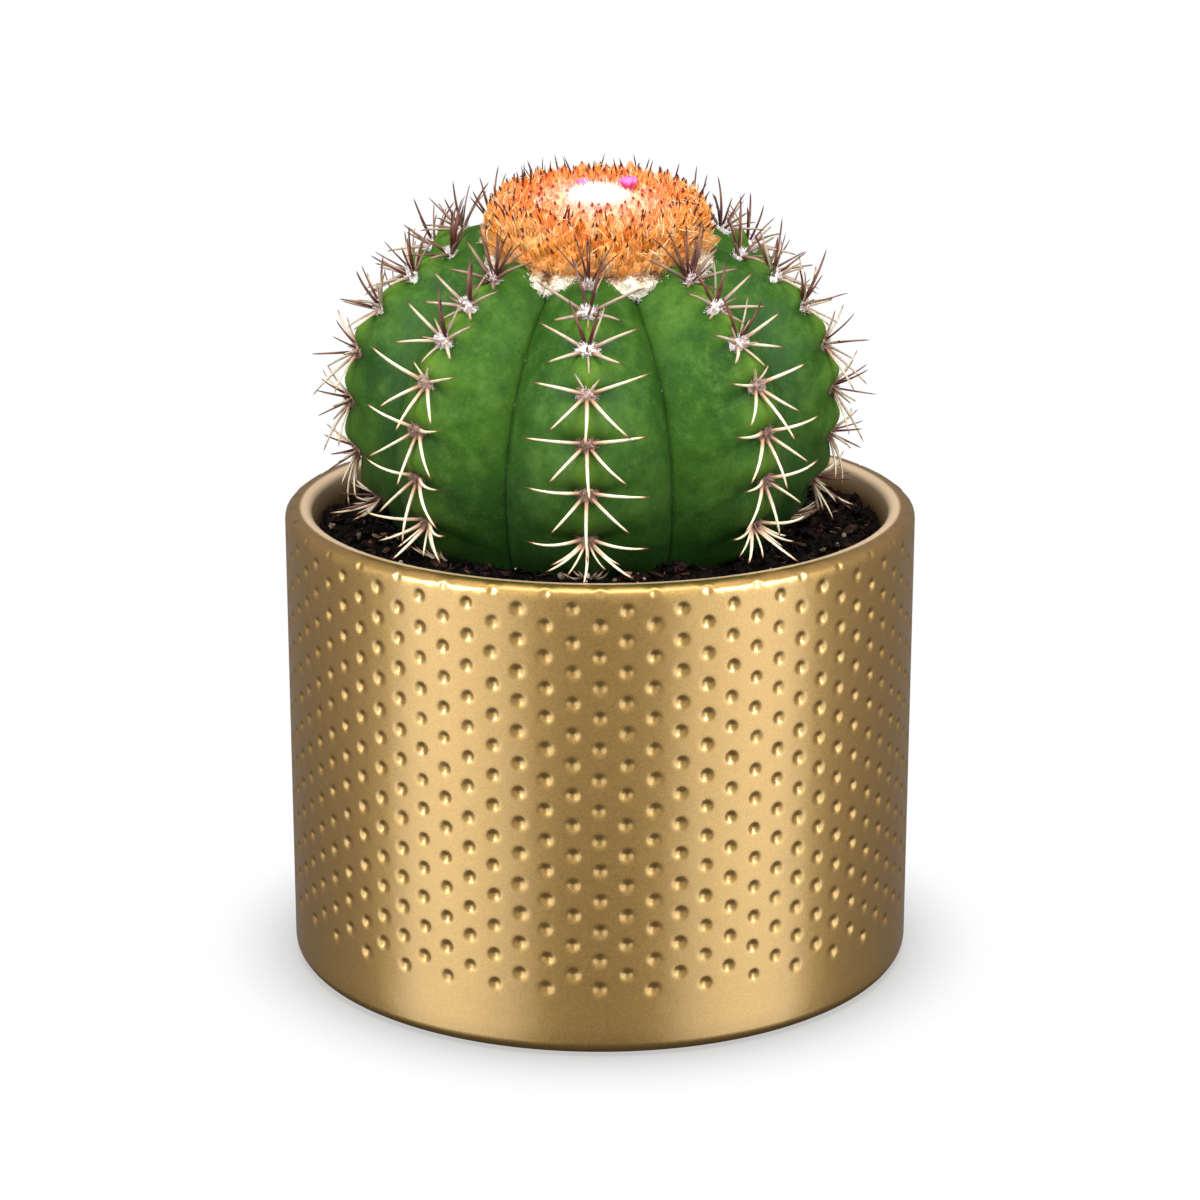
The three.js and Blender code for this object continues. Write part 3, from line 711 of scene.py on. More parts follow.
def strands(roots, ways, bends, widths, steps=3, sides=3, taper=0.75, **own_traits):
    """Slim round pointed hairs or spines, each curved in the middle by its bend: points, faces and traits."""
    roots, ways, bends = (np.asarray(each, dtype=float) for each in (roots, ways, bends))
    n = len(roots)
    t = np.arange(steps) / steps
    path = (roots[:, None] + ways[:, None] * t[None, :, None]
            + bends[:, None] * (4 * t * (1 - t))[None, :, None])
    along = units(ways[:, None] + bends[:, None] * (4 * (1 - 2 * t))[None, :, None])
    upright = np.abs(along[:, :1, 2:]) > 0.9
    aside = np.where(upright, np.array([1.0, 0, 0]), np.array([0, 0, 1.0]))
    first = units(np.cross(along, np.broadcast_to(aside, along.shape)))
    second = np.cross(along, first)
    turn = even_turns(sides)
    half = np.asarray(widths)[:, None] / 2 * ((1 - t) ** taper)[None, :]
    rim = (first[:, :, None] * np.cos(turn)[None, None, :, None]
           + second[:, :, None] * np.sin(turn)[None, None, :, None]) * half[:, :, None, None]
    rings = (path[:, :, None] + rim).reshape(n, steps * sides, 3)
    points = np.concatenate([rings, (roots + ways)[:, None]], axis=1)
    own = np.arange(n)[:, None] * (steps * sides + 1)
    side = np.arange(sides)
    after = (side + 1) % sides
    walls = (own[:, None] + quads_between(steps, sides)[None]).reshape(-1, 4)
    tips = np.stack([(steps - 1) * sides + side, (steps - 1) * sides + after,
                     np.full(sides, steps * sides)], axis=1)
    tips = (own[:, None] + tips[None]).reshape(-1, 3)
    feet = own + side[::-1][None]
    traits = {"along": np.tile(np.concatenate([np.repeat(t, sides), [1.0]]), n)}
    for trait, values in own_traits.items():
        traits[trait] = np.repeat(np.asarray(values), steps * sides + 1)
    return points.reshape(-1, 3), walls.tolist() + tips.tolist() + feet.tolist(), traits


spine_draw = seeded(7)
random = np.random.default_rng(4)
roots, ways, bends, widths, tones = [], [], [], [], []


def grow_spine(point, side, down, out, kind, play, stretch, thickness, tone, room=cap_room):
    """One spine of an areole, of its kind and with its own play in direction and stretch in length."""
    way = unit(side * (kind[0] + play[0]) + down * (kind[1] + play[1]) + out * kind[2])
    flat = way - out * (way @ out)
    root = point + out * root_outset + flat * root_spread
    reach = clear_of_soil_and_cap(root, way * kind[3] * stretch, room)
    sag = (0.05 if tone > 0.3 else 0.09) * kind[3]
    roots.append(root - unit(reach) * root_depth)
    ways.append(reach + unit(reach) * root_depth)
    bends.append(out * sag * random.uniform(0.7, 1.4) + down * sag * random.uniform(-0.1, 0.6)
                 + side * sag * random.normal(0, 0.3))
    widths.append(thickness)
    tones.append(tone)


for point, side, down, out, number, count in areoles:
    is_upper = count < upper_count
    # The spines at the sides and the back of the plant are darker
    towards_side = float(np.interp(abs(math.atan2(point[0], -point[1])), [1.0, 1.6], [0.0, 0.55]))
    tone = float(np.interp(count, [0, 1, 2, 3, 4.5], [0.85, 0.62, 0.42, 0.15, 0.0]))
    tone = max(tone, towards_side * float(np.interp(count, [3, 7], [1.0, 0.4])))
    kinds = upper_spines if is_upper else lower_spines
    for kind in kinds if number >= 0 else []:
        play = ((next(spine_draw) - 0.5) * 0.2, (next(spine_draw) - 0.5) * 0.2)
        stretch = 1 + (next(spine_draw) - 0.5) * 0.24
        dark = 1.0 if is_upper and kind[2] >= 0.6 else tone
        slim = float(np.interp(count, [2, 5], [1.0, 0.88])) * (1 - 0.3 * towards_side)
        if not is_upper:
            # The real ones below reach further than the solid ones, most of all straight down
            stretch *= 1.22 if kind[0] == 0 else 1.08
        thickness = slim * random.uniform(0.00084, 0.00098)
        grow_spine(point, side, down, out, kind, play, stretch, thickness, dark)
    # Shorter and finer spines fill out the cushion, and the youngest stand close before the cap
    extra = []
    if is_upper and number >= 0:
        extra += [(0.4, -0.9, 0.55, 0.0098), (0.05, 1, 0.5, 0.0082), (0.0, 0.4, 1, 0.0070)]
    if count < 0.3:
        extra += [(-0.75, -1, 0.7, 0.0120), (-0.35, -1, 0.6, 0.0132), (0.1, -1, 0.7, 0.0126),
                  (0.55, -1, 0.6, 0.0124), (0.0, -1, 0.95, 0.0105), (0.85, -0.8, 0.7, 0.0098)]
    if 1.9 < count < 3.1:
        extra += [(-0.5, -0.7, 0.8, 0.0052), (0.5, -0.7, 0.8, 0.0050)]
    if count > 5.5:
        extra += [(-0.9, 0.35, 0.6, 0.0085), (0.9, 0.3, 0.6, 0.0088),
                  (-0.4, 1, 0.5, 0.0082), (0.45, 1, 0.5, 0.0078)]
    if count > 5.5 and number < 0:
        extra += [(-0.6, -0.2, 0.8, 0.0078), (0.65, -0.1, 0.7, 0.0080), (0.0, 0.6, 0.9, 0.0085)]
    if towards_side > 0.2 and count > 0.3:
        extra += [(-0.45, -0.6, 1.1, 0.0088), (0.5, -0.4, 1.1, 0.0080), (0.1, 0.4, 1.2, 0.0092),
                  (-0.3, -1.0, 0.8, 0.0075)]
    for kind in extra:
        play = random.normal(0, 0.06, 2)
        young = count < 0.3
        dark = young or kind[2] > 1
        stretch = random.uniform(0.85, 1.15)
        thickness = random.uniform(0.00046, 0.00066) if dark else random.uniform(0.00056, 0.00070)
        grow_spine(point, side, down, out, kind, play, stretch, thickness,
                   1.0 if dark else min(tone + 0.12, 1), 0.0026 if young else cap_room)

spine_horn, add, shader = new_finish("spine_horn")
up_spine = carried(add, "along")
streak = patches(add, on_piece(add), 700.0, 2.0)
pale = ramp(add, up_spine, [(0.0, (0.24, 0.09, 0.05)), (0.13, (0.58, 0.33, 0.19)), (0.30, (0.90, 0.74, 0.54)),
                            (0.55, (0.96, 0.87, 0.66)), (0.82, (0.84, 0.64, 0.40)),
                            (0.91, (0.20, 0.075, 0.035)), (1.0, (0.06, 0.02, 0.015))])
dark = ramp(add, up_spine, [(0.0, (0.050, 0.010, 0.010)), (0.35, (0.085, 0.022, 0.018)),
                            (0.62, (0.22, 0.10, 0.065)), (0.80, (0.11, 0.045, 0.034)),
                            (1.0, (0.018, 0.006, 0.007))])
horn = mixed(add, carried(add, "tone"), pale, dark)
horn = mixed(add, levels(add, streak, 0.5, 0.7, 0.0, 0.25), horn, (0.24, 0.11, 0.06))
plug(shader, {"Base Color": horn, "Roughness": 0.45, "Specular IOR Level": 0.25,
              "Normal": relief(add, streak, 0.3, 0.0002)})

points, faces, traits = strands(roots, ways, bends, widths, steps=10, sides=6, taper=0.42, tone=tones)
spines = make_piece("spines", leaning(points), faces, spine_horn, traits)
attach(spines, "root")
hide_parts("cactus")


# ---- Areoles ----
# Small oval cushions of short felt that stand in the notches of the ribs and hold the spines. The young
# ones are white, the old ones low down are grey-brown.

felt_count = 210
pad_columns = 14
pad_foot = 0.0007
pad_rise = np.radians([0, 18, 36, 54, 72])
pad_turn = even_turns(pad_columns)
pad_points, pad_faces, pad_tones = [], [], []
roots, ways, widths, tones = [], [], [], []
for point, side, down, out, number, count in areoles:
    tone = float(np.interp(count, [-0.5, 0.4, 1.8, 2.6, 3.6], [0.45, 0.08, 0.0, 0.45, 0.85]))
    across, along, high = (float(np.interp(count, [-0.5, 0, 0.7, 1.8, 3, 6], each)) for each in
                           ([0.0009, 0.0015, 0.0023, 0.0024, 0.0020, 0.0018],
                            [0.0008, 0.0012, 0.0018, 0.0019, 0.0020, 0.0018],
                            [0.0008, 0.0010, 0.0014, 0.0015, 0.0014, 0.0012]))
    foot = point - out * pad_foot
    start = len(pad_points) * (len(pad_rise) * pad_columns + 1)
    rim = side * np.cos(pad_turn)[:, None] * across + down * np.sin(pad_turn)[:, None] * along
    rings = [foot + (rim * math.cos(rise) + out * (high + pad_foot) * math.sin(rise))
             * random.uniform(0.86, 1.10, (pad_columns, 1)) for rise in pad_rise]
    pad_points.append(np.concatenate(rings + [foot[None] + out * (high + pad_foot)]))
    pad_faces += (quads_between(len(rings), pad_columns) + start).tolist()
    last = start + (len(rings) - 1) * pad_columns
    pad_faces += [[last + n, last + (n + 1) % pad_columns, last + pad_columns]
                  for n in range(pad_columns)]
    pad_tones.append(np.full(len(pad_points[-1]), min(tone + 0.05, 1)))
    turn = random.uniform(0, 2 * math.pi, (felt_count, 1))
    rise = np.arcsin(random.uniform(0.15, 1, (felt_count, 1)))
    away = (side * np.cos(turn) * across + down * np.sin(turn) * along) * np.cos(rise)
    up = out * (high + pad_foot) * np.sin(rise)
    roots.append(foot + (away + up) * 0.94)
    ways.append((away / across + up / high) * random.uniform(0.0004, 0.0010, (felt_count, 1))
                + random.normal(0, 0.00018, (felt_count, 3)))
    widths.append(random.uniform(0.00016, 0.00026, felt_count))
    tones.append(np.clip(tone + random.normal(0, 0.13, felt_count), 0, 1))
roots, ways, widths, tones = (np.concatenate(each) for each in (roots, ways, widths, tones))
bends = random.normal(0, 0.00014, (len(roots), 3))

areole_felt, add, shader = new_finish("areole_felt")
felt = ramp(add, carried(add, "tone"), [(0.0, (0.97, 0.93, 0.94)), (0.3, (0.74, 0.62, 0.60)),
                                        (0.6, (0.52, 0.38, 0.32)), (1.0, (0.34, 0.20, 0.15))])
plug(shader, {"Base Color": felt, "Roughness": 0.9})
points, faces, traits = strands(roots, ways, bends, widths, steps=2, sides=3, taper=0.5, tone=tones)
felts = make_piece("areole_hairs", leaning(points), faces, areole_felt, traits)
pads = make_piece("areole_pads", leaning(np.concatenate(pad_points)), pad_faces, areole_felt,
                  {"tone": np.concatenate(pad_tones)})
for felt_piece in (felts, pads):
    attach(felt_piece, "root")


# ---- Cap ----
# The cactus's flowering cap: a flat-topped cushion of closely packed orange bristle tufts, most with a fine
# dark spine in the tip. It grew from the crown in a spiral, a little to the right of the body's middle.

golden_angle = math.pi * (3 - math.sqrt(5))
flat_share = 0.56
flat_radius = cap_radius - 0.0048
rim_round = 0.0042
skirt_drop = cap_top - cap_bottom - 0.0026
skirt_lean = 1.3


def cap_place(share, angle):
    """Places from the cap's middle (0) to the foot of its skirt (1), and their outward direction."""
    turn = np.maximum(share - flat_share, 0) / (1 - flat_share)
    flat = np.minimum(share / flat_share, 1)
    radius = flat_radius * flat + rim_round * np.sin(turn * math.pi / 2)
    height = cap_top - 0.0002 - 0.0005 * flat ** 2 - skirt_drop * turn ** 1.8
    outward = turned(np.ones_like(angle), 0, angle)
    lean = (turn * skirt_lean)[..., None]
    return turned(radius, height, angle), outward * np.sin(lean) + np.array([0, 0, 1.0]) * np.cos(lean)


def on_cap(points):
    """Moves points of the cap to its place on the leaning plant."""
    return leaning(np.asarray(points) + [cap_middle, 0, 0])


def crosswise(vectors, axes, share=1):
    """Vectors with a share of what runs along their axes taken away."""
    return vectors - axes * np.sum(vectors * axes, axis=1, keepdims=True) * share


def joined(*parts):
    """One set of points, faces and traits from several."""
    starts = np.cumsum([0] + [len(part[0]) for part in parts])
    faces = [[int(start) + corner for corner in face]
             for start, part in zip(starts, parts) for face in part[1]]
    traits = {trait: np.concatenate([part[2][trait] for part in parts]) for trait in parts[0][2]}
    return np.concatenate([part[0] for part in parts]), faces, traits


tuft_count = 390
inner_share, outer_share = 0.185, 1.10
tuft_sink = 0.0006
tuft_number = np.arange(tuft_count)
tuft_share = inner_share + (outer_share - inner_share) * ((tuft_number + 0.5) / tuft_count) ** 0.76
tuft_places, tuft_ways = cap_place(tuft_share, tuft_number * golden_angle)
on_skirt = np.clip((tuft_share - flat_share) / (1 - flat_share), 0, 1)
tuft_places = tuft_places - tuft_ways * tuft_sink * on_skirt[:, None]
tuft_places = tuft_places + random.normal(0, 0.0003, tuft_places.shape)
tuft_ways = tuft_ways + random.normal(0, 0.12, tuft_ways.shape)
tuft_ways[:, 2] += 0.2 + 0.6 * on_skirt
tuft_ways = units(tuft_ways)
tuft_length = np.interp(tuft_share, [0.2, 0.4, 0.62, 0.85, 1.0], [0.0009, 0.0016, 0.0025, 0.0036, 0.0041])
tuft_length = tuft_length * random.uniform(0.82, 1.18, tuft_count)
tuft_width = np.interp(tuft_share, [0.2, 0.45, 0.7, 1.0], [0.0018, 0.0025, 0.0030, 0.0028])
tuft_width = tuft_width * random.uniform(0.85, 1.15, tuft_count)
tuft_root = 0.0014
# Tone runs from the pale tufts by the white wool (0) over red-orange to the grey foot (1). Each tuft and
# fibre has its own shade, from dry straw (0) to dark rust (1), and its own grain.
ring = (tuft_share - inner_share) / (outer_share - inner_share)
ring = np.clip(ring + random.normal(0, 0.05, tuft_count), 0, 1)
tuft_shade = np.clip(random.normal(0.5, 0.13, tuft_count), 0, 1)

# A tuft is matted round its middle, with its grain running up it
tuft_steps, tuft_sides = 7, 9
points, faces, traits = strands(tuft_places - tuft_ways * tuft_root,
                                tuft_ways * (tuft_length * 0.9 + tuft_root)[:, None],
                                random.normal(0, 0.00018, tuft_ways.shape), tuft_width * 0.68,
                                steps=tuft_steps, sides=tuft_sides, taper=0.7, tone=ring, shade=tuft_shade,
                                grain=random.uniform(0, 60, tuft_count))
one_around = np.concatenate([np.tile(np.arange(tuft_sides) * 1.1, tuft_steps), [5.0]])
traits["around"] = np.tile(one_around, tuft_count)
matted_tufts = (points + random.normal(0, 0.00010, points.shape), faces, traits)

fibres_per_tuft = 30
fibre_root_share = 0.7
fibre_tuft = np.repeat(tuft_number, fibres_per_tuft)
fibre_count = len(fibre_tuft)
spread = units(crosswise(random.normal(0, 1, (fibre_count, 3)), tuft_ways[fibre_tuft]))
spread *= tuft_width[fibre_tuft][:, None] / 2 * random.uniform(0.45, 1.05, (fibre_count, 1))
fibre_length = tuft_length[fibre_tuft][:, None] * random.uniform(0.60, 1.02, (fibre_count, 1))
roots = tuft_places[fibre_tuft] + spread - tuft_ways[fibre_tuft] * tuft_root * fibre_root_share
closing = random.uniform(0.55, 1.0, (fibre_count, 1))
ways = tuft_ways[fibre_tuft] * (fibre_length + tuft_root * fibre_root_share) - spread * closing
bends = spread * 0.18 + random.normal(0, 0.00020, spread.shape)
widths = random.uniform(0.00020, 0.00040, fibre_count)
shades = np.clip(tuft_shade[fibre_tuft] + random.normal(-0.06, 0.20, fibre_count), 0, 1)
fibres = strands(roots, ways, bends, widths, steps=3, sides=3, taper=0.6, tone=ring[fibre_tuft], shade=shades,
                 grain=random.uniform(0, 60, fibre_count), around=random.uniform(0, 9, fibre_count))

# Long dry hairs lie loose across the tufts
hair_count = 110
hair_share = random.uniform(0.62, 1.0, hair_count)
hair_places, hair_ways = cap_place(hair_share, random.uniform(0, 2 * math.pi, hair_count))
roots = hair_places + hair_ways * 0.0016
ways = crosswise(random.normal(0, 1, (hair_count, 3)) + [0, 0, 1.1], hair_ways, 0.9)
ways *= random.uniform(0.0030, 0.0060, (hair_count, 1)) / np.linalg.norm(ways, axis=1, keepdims=True)
hairs = strands(roots, ways, hair_ways * 0.0005 + random.normal(0, 0.0004, ways.shape),
                random.uniform(0.00016, 0.00028, hair_count), steps=5, sides=3, taper=0.5,
                tone=hair_share, shade=random.uniform(0, 0.2, hair_count),
                grain=random.uniform(0, 60, hair_count), around=random.uniform(0, 9, hair_count))

cap_bristle, add, shader = new_finish("cap_bristle")
up_fibre, ring_tone, shade, around, grain = (carried(add, trait) for trait in
                                             ("along", "tone", "shade", "around", "grain"))
along_grain = {"X": around, "Y": times(add, up_fibre, 1.6), "Z": grain}
streak = patches(add, add("ShaderNodeCombineXYZ", along_grain).outputs["Vector"], 2.2, 3.0)
tip = ramp(add, ring_tone, [(0.0, (0.98, 0.55, 0.42)), (0.10, (0.97, 0.30, 0.16)),
                            (0.24, (0.95, 0.13, 0.03)), (0.50, (0.96, 0.21, 0.015)),
                            (0.80, (0.95, 0.34, 0.02)), (0.95, (0.92, 0.42, 0.09)),
                            (1.0, (0.62, 0.40, 0.28))])
foot = ramp(add, ring_tone, [(0.0, (1.0, 0.88, 0.80)), (0.15, (1.0, 0.62, 0.40)), (0.32, (1.0, 0.40, 0.11)),
                             (0.75, (1.0, 0.48, 0.08)), (0.92, (1.0, 0.55, 0.18)), (1.0, (0.80, 0.60, 0.48))])
orange = mixed(add, levels(add, up_fibre, 0.25, 0.85), foot, tip)
uneven = plus(add, shade, levels(add, streak, 0.3, 0.7, -0.34, 0.34))
orange = mixed(add, levels(add, uneven, 0.38, 0.08, 0.0, 0.75), orange, (1.0, 0.80, 0.46))
orange = mixed(add, levels(add, uneven, 0.60, 0.95, 0.0, 0.80), orange, (0.52, 0.10, 0.008))
orange = mixed(add, levels(add, up_fibre, 0.80, 1.0, 0.0, 0.4), orange, (0.60, 0.10, 0.02))
plug(shader, {"Base Color": orange, "Roughness": 0.7, "Specular IOR Level": 0.25, "Subsurface Weight": 0.25,
              "Subsurface Radius": (1.0, 0.45, 0.2), "Subsurface Scale": 0.0012,
              "Normal": relief(add, streak, 0.7, 0.0004)})
for name, (points, faces, traits) in (("cap_tufts", matted_tufts), ("cap_fibres", joined(fibres, hairs))):
    bristles = make_piece(name, on_cap(points), faces, cap_bristle, traits)
    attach(bristles, "root")
    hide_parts("cephalium")

# The felted cushion that the tufts stand on, closed all round
core_columns = 96
core_profile = [(0.0, 0.1618), (0.014, 0.1622), (0.0213, 0.1608), (0.0217, 0.1576), (0.0225, 0.1573),
                (0.0225, 0.1590), (0.0223, 0.1610), (0.0216, 0.1630), (0.0204, 0.1647), (0.0186, 0.1657),
                (0.0165, 0.1661), (0.0120, 0.1664), (0.0080, 0.1666), (0.0040, 0.1667), (0.0, 0.1667)]
core_turn = even_turns(core_columns)
core_rings = [level_ring(radius, height, core_turn) for radius, height in core_profile]
by_crown = np.repeat([float(radius < 0.0125 and height > 0.165) for radius, height in core_profile],
                     core_columns)
cap_felt, add, shader = new_finish("cap_felt")
patch = patches(add, on_piece(add), 900.0, 4.0)
felt = ramp(add, patch, [(0.35, (0.75, 0.27, 0.05)), (0.65, (1.0, 0.52, 0.16))])
plug(shader, {"Base Color": mixed(add, carried(add, "tone"), felt, (0.95, 0.48, 0.28)), "Roughness": 0.9,
              "Normal": relief(add, patch, 0.9, 0.0008)})
core = make_piece("cap_cushion", on_cap(np.concatenate(core_rings)),
                  quads_between(len(core_rings), core_columns).tolist(), cap_felt,
                  {"tone": by_crown}, weld=True)
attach(core, "root")
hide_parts("cephalium")

# Fine dark spines: the end of one shows in most tufts, and longer ones stick up round the rim and the skirt
in_tuft = (random.uniform(0, 1, tuft_count) < 0.7) & (tuft_share < 0.98)
fine_start = (tuft_length * 0.62)[in_tuft]
roots = tuft_places[in_tuft] + tuft_ways[in_tuft] * fine_start[:, None]
fine_length = tuft_length[in_tuft] - fine_start + random.uniform(0.0, 0.00045, len(roots))
ways = tuft_ways[in_tuft] * fine_length[:, None]
widths = random.uniform(0.00060, 0.00088, len(roots))
tones = np.clip(1.3 - 2.6 * tuft_share[in_tuft], 0, 1)
long_count = 36
long_share = random.uniform(0.48, 0.78, long_count)
long_places, long_ways = cap_place(long_share, random.uniform(0, 2 * math.pi, long_count))
long_ways = long_ways * 0.7 + random.normal(0, 0.22, long_ways.shape) + [0, 0, 0.7]
long_length = random.uniform(0.0030, 0.0054, (long_count, 1))
long_ways *= long_length / np.linalg.norm(long_ways, axis=1, keepdims=True)
roots = np.concatenate([roots, long_places])
ways = np.concatenate([ways, long_ways])
widths = np.concatenate([widths, random.uniform(0.00042, 0.00056, long_count)])
tones = np.concatenate([tones, np.zeros(long_count)])
bends = random.normal(0, 0.00018, roots.shape)
cap_spine, add, shader = new_finish("cap_spine")
needle = ramp(add, carried(add, "along"), [(0.0, (0.30, 0.06, 0.02)), (0.35, (0.11, 0.022, 0.016)),
                                           (1.0, (0.02, 0.008, 0.010))])
plug(shader, {"Base Color": mixed(add, carried(add, "tone"), needle, (0.55, 0.05, 0.02)),
              "Roughness": 0.5, "Specular IOR Level": 0.15})
points, faces, traits = strands(roots, ways, bends, widths, steps=5, sides=4, taper=0.6, tone=tones)
fine_spines = make_piece("cap_spines", on_cap(points), faces, cap_spine, traits)
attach(fine_spines, "root")
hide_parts("cephalium")


# ---- Wool under the cap ----
# Cream wool between the cap's skirt and the ribs, which comes out in soft blobs at the tops of the grooves.
# It is matted, with browner dry patches under the skirt and short fine hairs all over.

matted_columns = 300
matted_profile = [(0.0160, 0.1612), (0.0160, 0.1524), (0.0200, 0.1519), (0.0218, 0.1521), (0.0230, 0.1528),
                  (0.0237, 0.1538), (0.0239, 0.1548), (0.0237, 0.1558), (0.0231, 0.1566), (0.0220, 0.1571),
                  (0.0210, 0.1580), (0.0206, 0.1604), (0.0160, 0.1612)]
matted_turn = even_turns(matted_columns)
rib_turns = np.radians([rib[0] for rib in ribs])
inner_face = 0.0195
groove_hang = 0.0008
# Swellings: how high, how many round the cap, how they change up the wool, and their shift
wool_swells = [(0.00024, 17, 2100, 0.4), (0.00020, 29, -3300, 1.7), (0.00016, 53, 5200, 3.9),
               (0.00010, 97, -8100, 2.2)]


def swollen(radius, height, turn):
    """Points of the wool's surface, which hangs out into the grooves and has soft swellings all over."""
    from_rib = np.abs((turn[:, None] - rib_turns + math.pi) % (2 * math.pi) - math.pi).min(axis=1)
    hang = np.sin(np.clip(from_rib / math.radians(11), 0, 1) * math.pi / 2) ** 2
    swell = sum(high * np.sin(turn * number + height * pace + shift)
                for high, number, pace, shift in wool_swells)
    outer = (radius > inner_face) * 1.0
    return turned(radius + (swell + groove_hang * hang) * outer, height, turn)


def wool_dryness(height, turn):
    """How brown and dry the wool is: only under the skirt, and there in patches."""
    patchy = np.sin(turn * 31 + height * 900) + np.sin(turn * 13 + 1.3)
    return np.interp(height, [0.1552, 0.1566], [0, 1]) * (0.45 + 0.3 * patchy)


matted_rings, matted_tones = [], []
for radius, height in matted_profile[:-1]:
    matted_rings.append(swollen(np.full(matted_columns, radius), height, matted_turn))
    matted_tones.append(np.clip(wool_dryness(height, matted_turn), 0, 0.95))
matted_rings.append(matted_rings[0])
matted_tones.append(matted_tones[0])

hair_count = 12000
hair_turn = random.uniform(0, 2 * math.pi, hair_count)
hair_place = random.uniform(0, 1, hair_count)
outer = np.array(matted_profile[3:11])
hair_radius = np.interp(hair_place, np.linspace(0, 1, len(outer)), outer[:, 0])
hair_height = np.interp(hair_place, np.linspace(0, 1, len(outer)), outer[:, 1])
outward = turned(np.ones(hair_count), 0, hair_turn)
roots = swollen(hair_radius, hair_height, hair_turn) - outward * 0.0002
ways = units(crosswise(random.normal(0, 1, (hair_count, 3)), outward))
ways = ways + outward * random.uniform(0.1, 0.6, (hair_count, 1))
ways = ways * random.uniform(0.0005, 0.0012, (hair_count, 1))
bends = outward * 0.0002 + random.normal(0, 0.0003, roots.shape)
widths = random.uniform(0.00012, 0.00020, hair_count)
tones = wool_dryness(hair_height, hair_turn) + random.normal(0, 0.12, hair_count)

cream_wool, add, shader = new_finish("cream_wool")
fluff = patches(add, on_piece(add), 1200.0, 4.0)
own = plus(add, carried(add, "tone"), levels(add, fluff, 0.3, 0.7, -0.15, 0.15))
wool = ramp(add, own, [(0.0, (0.92, 0.86, 0.75)), (0.45, (0.84, 0.72, 0.54)), (0.72, (0.42, 0.23, 0.12)),
                       (1.0, (0.15, 0.07, 0.04))])
plug(shader, {"Base Color": wool, "Roughness": 0.95, "Specular IOR Level": 0.2,
              "Normal": relief(add, fluff, 0.6, 0.0005)})
points, faces, traits = strands(roots, ways, bends, widths, steps=3, sides=3, taper=0.4,
                                tone=np.clip(tones, 0, 1))
matted = make_piece("wool_matted", on_cap(np.concatenate(matted_rings)),
                    quads_between(len(matted_rings), matted_columns).tolist(), cream_wool,
                    {"tone": np.concatenate(matted_tones)}, weld=True)
locks = make_piece("wool_hairs", on_cap(points), faces, cream_wool, traits)
for wool_piece in (matted, locks):
    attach(wool_piece, "root")
    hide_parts("cephalium_wool")


# ---- Crown wool ----
# The white young wool in the middle of the cap, where new bristles and flowers come up. It thins out into
# peach down between the first tufts.

crown_wool_radius = 0.0049
down_root = cap_top - 0.0013
down_count = 3600
down_share = np.sqrt(random.uniform(0, 1, down_count)) * 1.25
down_turn = random.uniform(0, 2 * math.pi, down_count)
outward = turned(np.ones(down_count), 0, down_turn)
roots = outward * (crown_wool_radius * down_share)[:, None] + [0, 0, down_root]
down_length = random.uniform(0.0021, 0.0027, down_count) * np.interp(down_share, [0.8, 1.25], [1.0, 0.62])
ways = outward * 0.2 * down_share[:, None] + [0, 0, 1.0] + random.normal(0, 0.30, (down_count, 3))
ways = ways * down_length[:, None]
bends = random.normal(0, 0.0003, roots.shape)
widths = random.uniform(0.00022, 0.00036, down_count)
tones = np.interp(down_share, [0.85, 1.1], [0, 1]) * random.uniform(0.5, 1, down_count)
white_wool, add, shader = new_finish("white_wool")
white = ramp(add, patches(add, on_piece(add), 500.0, 2.0), [(0.3, (0.98, 0.96, 0.93)),
                                                            (0.6, (1.0, 0.99, 0.98))])
plug(shader, {"Base Color": mixed(add, carried(add, "tone"), white, (1.0, 0.72, 0.56)), "Roughness": 0.95})
points, faces, traits = strands(roots, ways, bends, widths, steps=3, sides=3, taper=0.5, tone=tones)
down = make_piece("crown_down", on_cap(points), faces, white_wool, traits)
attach(down, "root")
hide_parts("crown_wool")


# ---- Flowers ----
# Two small pink flowers that have just opened beside the white wool, each a cup of overlapping petals.

# Each flower: its place on the cap, to the right and to the back, and its length
flowers = [(-0.0031, 0.0076, 0.0012), (0.0064, 0.0070, 0.0018)]
petal_count = 17
pink_petals, add, shader = new_finish("pink_petals")
pink = ramp(add, carried(add, "along"), [(0.0, (0.66, 0.03, 0.20)), (0.45, (0.78, 0.06, 0.34)),
                                         (1.0, (0.86, 0.20, 0.52))])
plug(shader, {"Base Color": pink, "Roughness": 0.5})
for number, (x, y, length) in enumerate(flowers):
    petal_turn = np.arange(petal_count) * golden_angle
    outward = turned(np.ones(petal_count), 0, petal_turn)
    flare = np.linspace(1.1, 0.1, petal_count)[:, None]
    roots = outward * length * 0.35 * flare + [x, y, cap_top + 0.0001]
    ways = (outward * flare + [0, 0, 0.85]) * length * random.uniform(0.92, 1.08, (petal_count, 1))
    bends = -outward * 0.0002 + [0, 0, 0.0003]
    widths = np.full(petal_count, length * 0.70)
    points, faces, traits = strands(roots, ways, bends, widths, steps=7, sides=8, taper=0.22)
    petals = make_piece(f"flower_petals_{number + 1}", on_cap(points), faces, pink_petals, traits)
    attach(petals, "root")
    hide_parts(f"flower_{number + 1}")
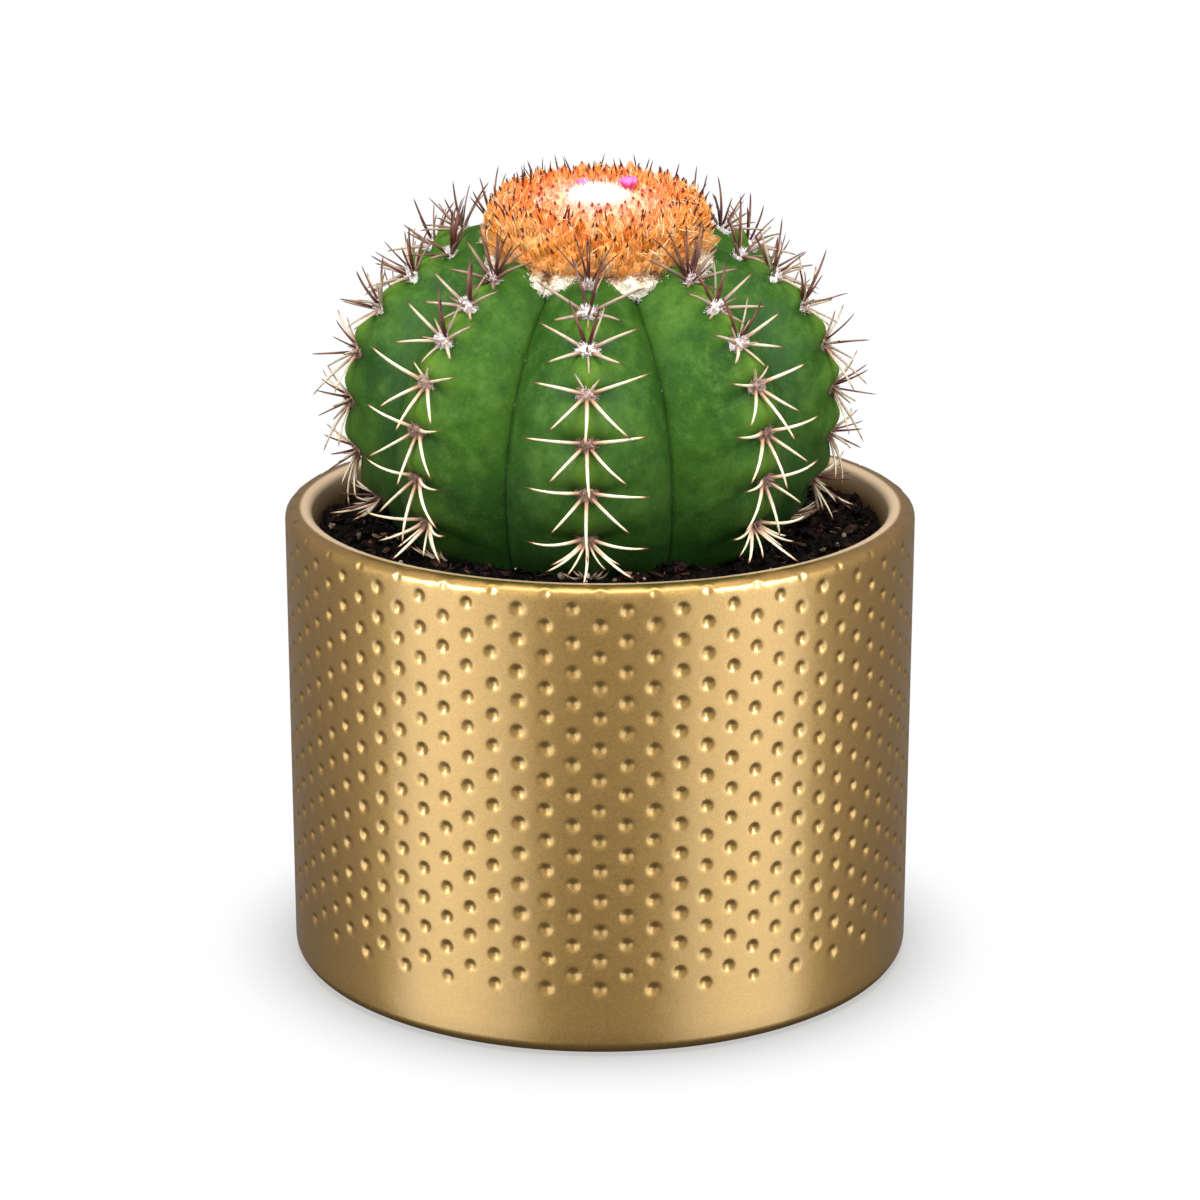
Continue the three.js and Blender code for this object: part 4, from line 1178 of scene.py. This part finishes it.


# ---- Studio ----
# A glowing white table with a soft shadow painted under the pot, and large soft lights in front on both
# sides, above and behind. On both sides are also two low strips and a higher panel of cooler light that are
# only mirrored.

table_reach = 3.0
floor_mesh = bpy.data.meshes.new("table_top")
corners = [(-table_reach, -table_reach, 0), (table_reach, -table_reach, 0),
           (table_reach, table_reach, 0), (-table_reach, table_reach, 0)]
floor_mesh.from_pydata(corners, [], [(0, 1, 2, 3)])
floor = bpy.data.objects.new("table_top", floor_mesh)
bpy.context.scene.collection.objects.link(floor)
white_table, add, shader = new_finish("white_table")
# The shadow under the pot is painted into the table's glow, from how near other things are
nearness = add("ShaderNodeAmbientOcclusion", {"Distance": 0.022}, samples=16).outputs["AO"]
white = ramp(add, nearness, [(0.40, (0.55, 0.54, 0.53)), (0.75, (0.86, 0.86, 0.86)), (0.97, (1.0, 1.0, 1.0))])
plug(shader, {"Base Color": (0, 0, 0, 1), "Specular IOR Level": 0.0, "Emission Color": white,
              "Emission Strength": 1.0})
floor_mesh.materials.append(white_table)
floor.visible_glossy = False
floor.visible_diffuse = False
floor.visible_shadow = False

light_distance = 1.2
aim_height = 0.09


def soft_light(name, azimuth, elevation, size, power, colour=(1, 1, 1)):
    """A rectangular soft light that faces the plant. Azimuth counts from the front to the right."""
    light = bpy.data.lights.new(name, "AREA")
    light.shape = "RECTANGLE"
    light.size, light.size_y = size
    light.energy = power
    light.color = colour
    lamp = bpy.data.objects.new(name, light)
    bpy.context.scene.collection.objects.link(lamp)
    side, rise = math.radians(azimuth), math.radians(elevation)
    away = light_distance * math.cos(rise)
    lamp.location = (away * math.sin(side), -away * math.cos(side),
                     aim_height + light_distance * math.sin(rise))
    lamp.rotation_euler = (math.pi / 2 - rise, 0, side)
    return lamp


cool_white = (0.66, 0.78, 1.0)
for name, way in (("left", -1), ("right", 1)):
    key = soft_light(f"{name}_light", way * 37, 40, (0.6, 0.7), 12)
    key.visible_glossy = False
    strip = soft_light(f"{name}_strip", way * 61, -12, (0.64, 1.1), 3.2, cool_white)
    fill = soft_light(f"{name}_fill", way * 36, -14, (0.36, 1.1), 1.3, cool_white)
    panel = soft_light(f"{name}_panel", way * 57, 24, (0.34, 0.34), 9.5, cool_white)
    for mirrored in (strip, fill, panel):
        mirrored.visible_diffuse = False
back_light = soft_light("back_light", 180, 40, (0.9, 0.7), 7)
back_light.visible_glossy = False
soft_light("top_light", 0, 76, (1.0, 0.7), 5)


def grey(level):
    return (level, level, level)


# The air is bright overhead and darker towards the ground, and weaker behind the plant than before it
world = bpy.data.worlds.new("studio_air")
bpy.context.scene.world = world
world.use_nodes = True
add = node_maker(world)
way = add("ShaderNodeSeparateXYZ", {"Vector": add("ShaderNodeTexCoord").outputs["Generated"]})
upward, backward = way.outputs["Z"], way.outputs["Y"]
brightness = ramp(add, levels(add, upward, -1.0, 1.0), [(0.0, grey(0.08)), (0.22, grey(0.12)),
                                                       (0.34, grey(0.40)), (0.60, grey(0.45)),
                                                       (1.0, grey(0.85))])
plug(world.node_tree.nodes["Background"],
     {"Color": brightness, "Strength": levels(add, backward, -0.3, 0.7, 1.0, 0.5)})

# The camera stands before the plant and looks a little down on it, as the photo's did
looks_down = 16.65
lens = bpy.data.cameras.new("camera")
lens.sensor_width = 36
lens.lens = 102.54
lens.clip_start = 0.05
lens.clip_end = 20
camera = bpy.data.objects.new("camera", lens)
bpy.context.scene.collection.objects.link(camera)
camera.location = (0, -0.71008, 0.28958)
camera.rotation_euler = (math.radians(90 - looks_down), 0, 0)
bpy.context.scene.camera = camera
bpy.context.scene.view_settings.view_transform = "Standard"
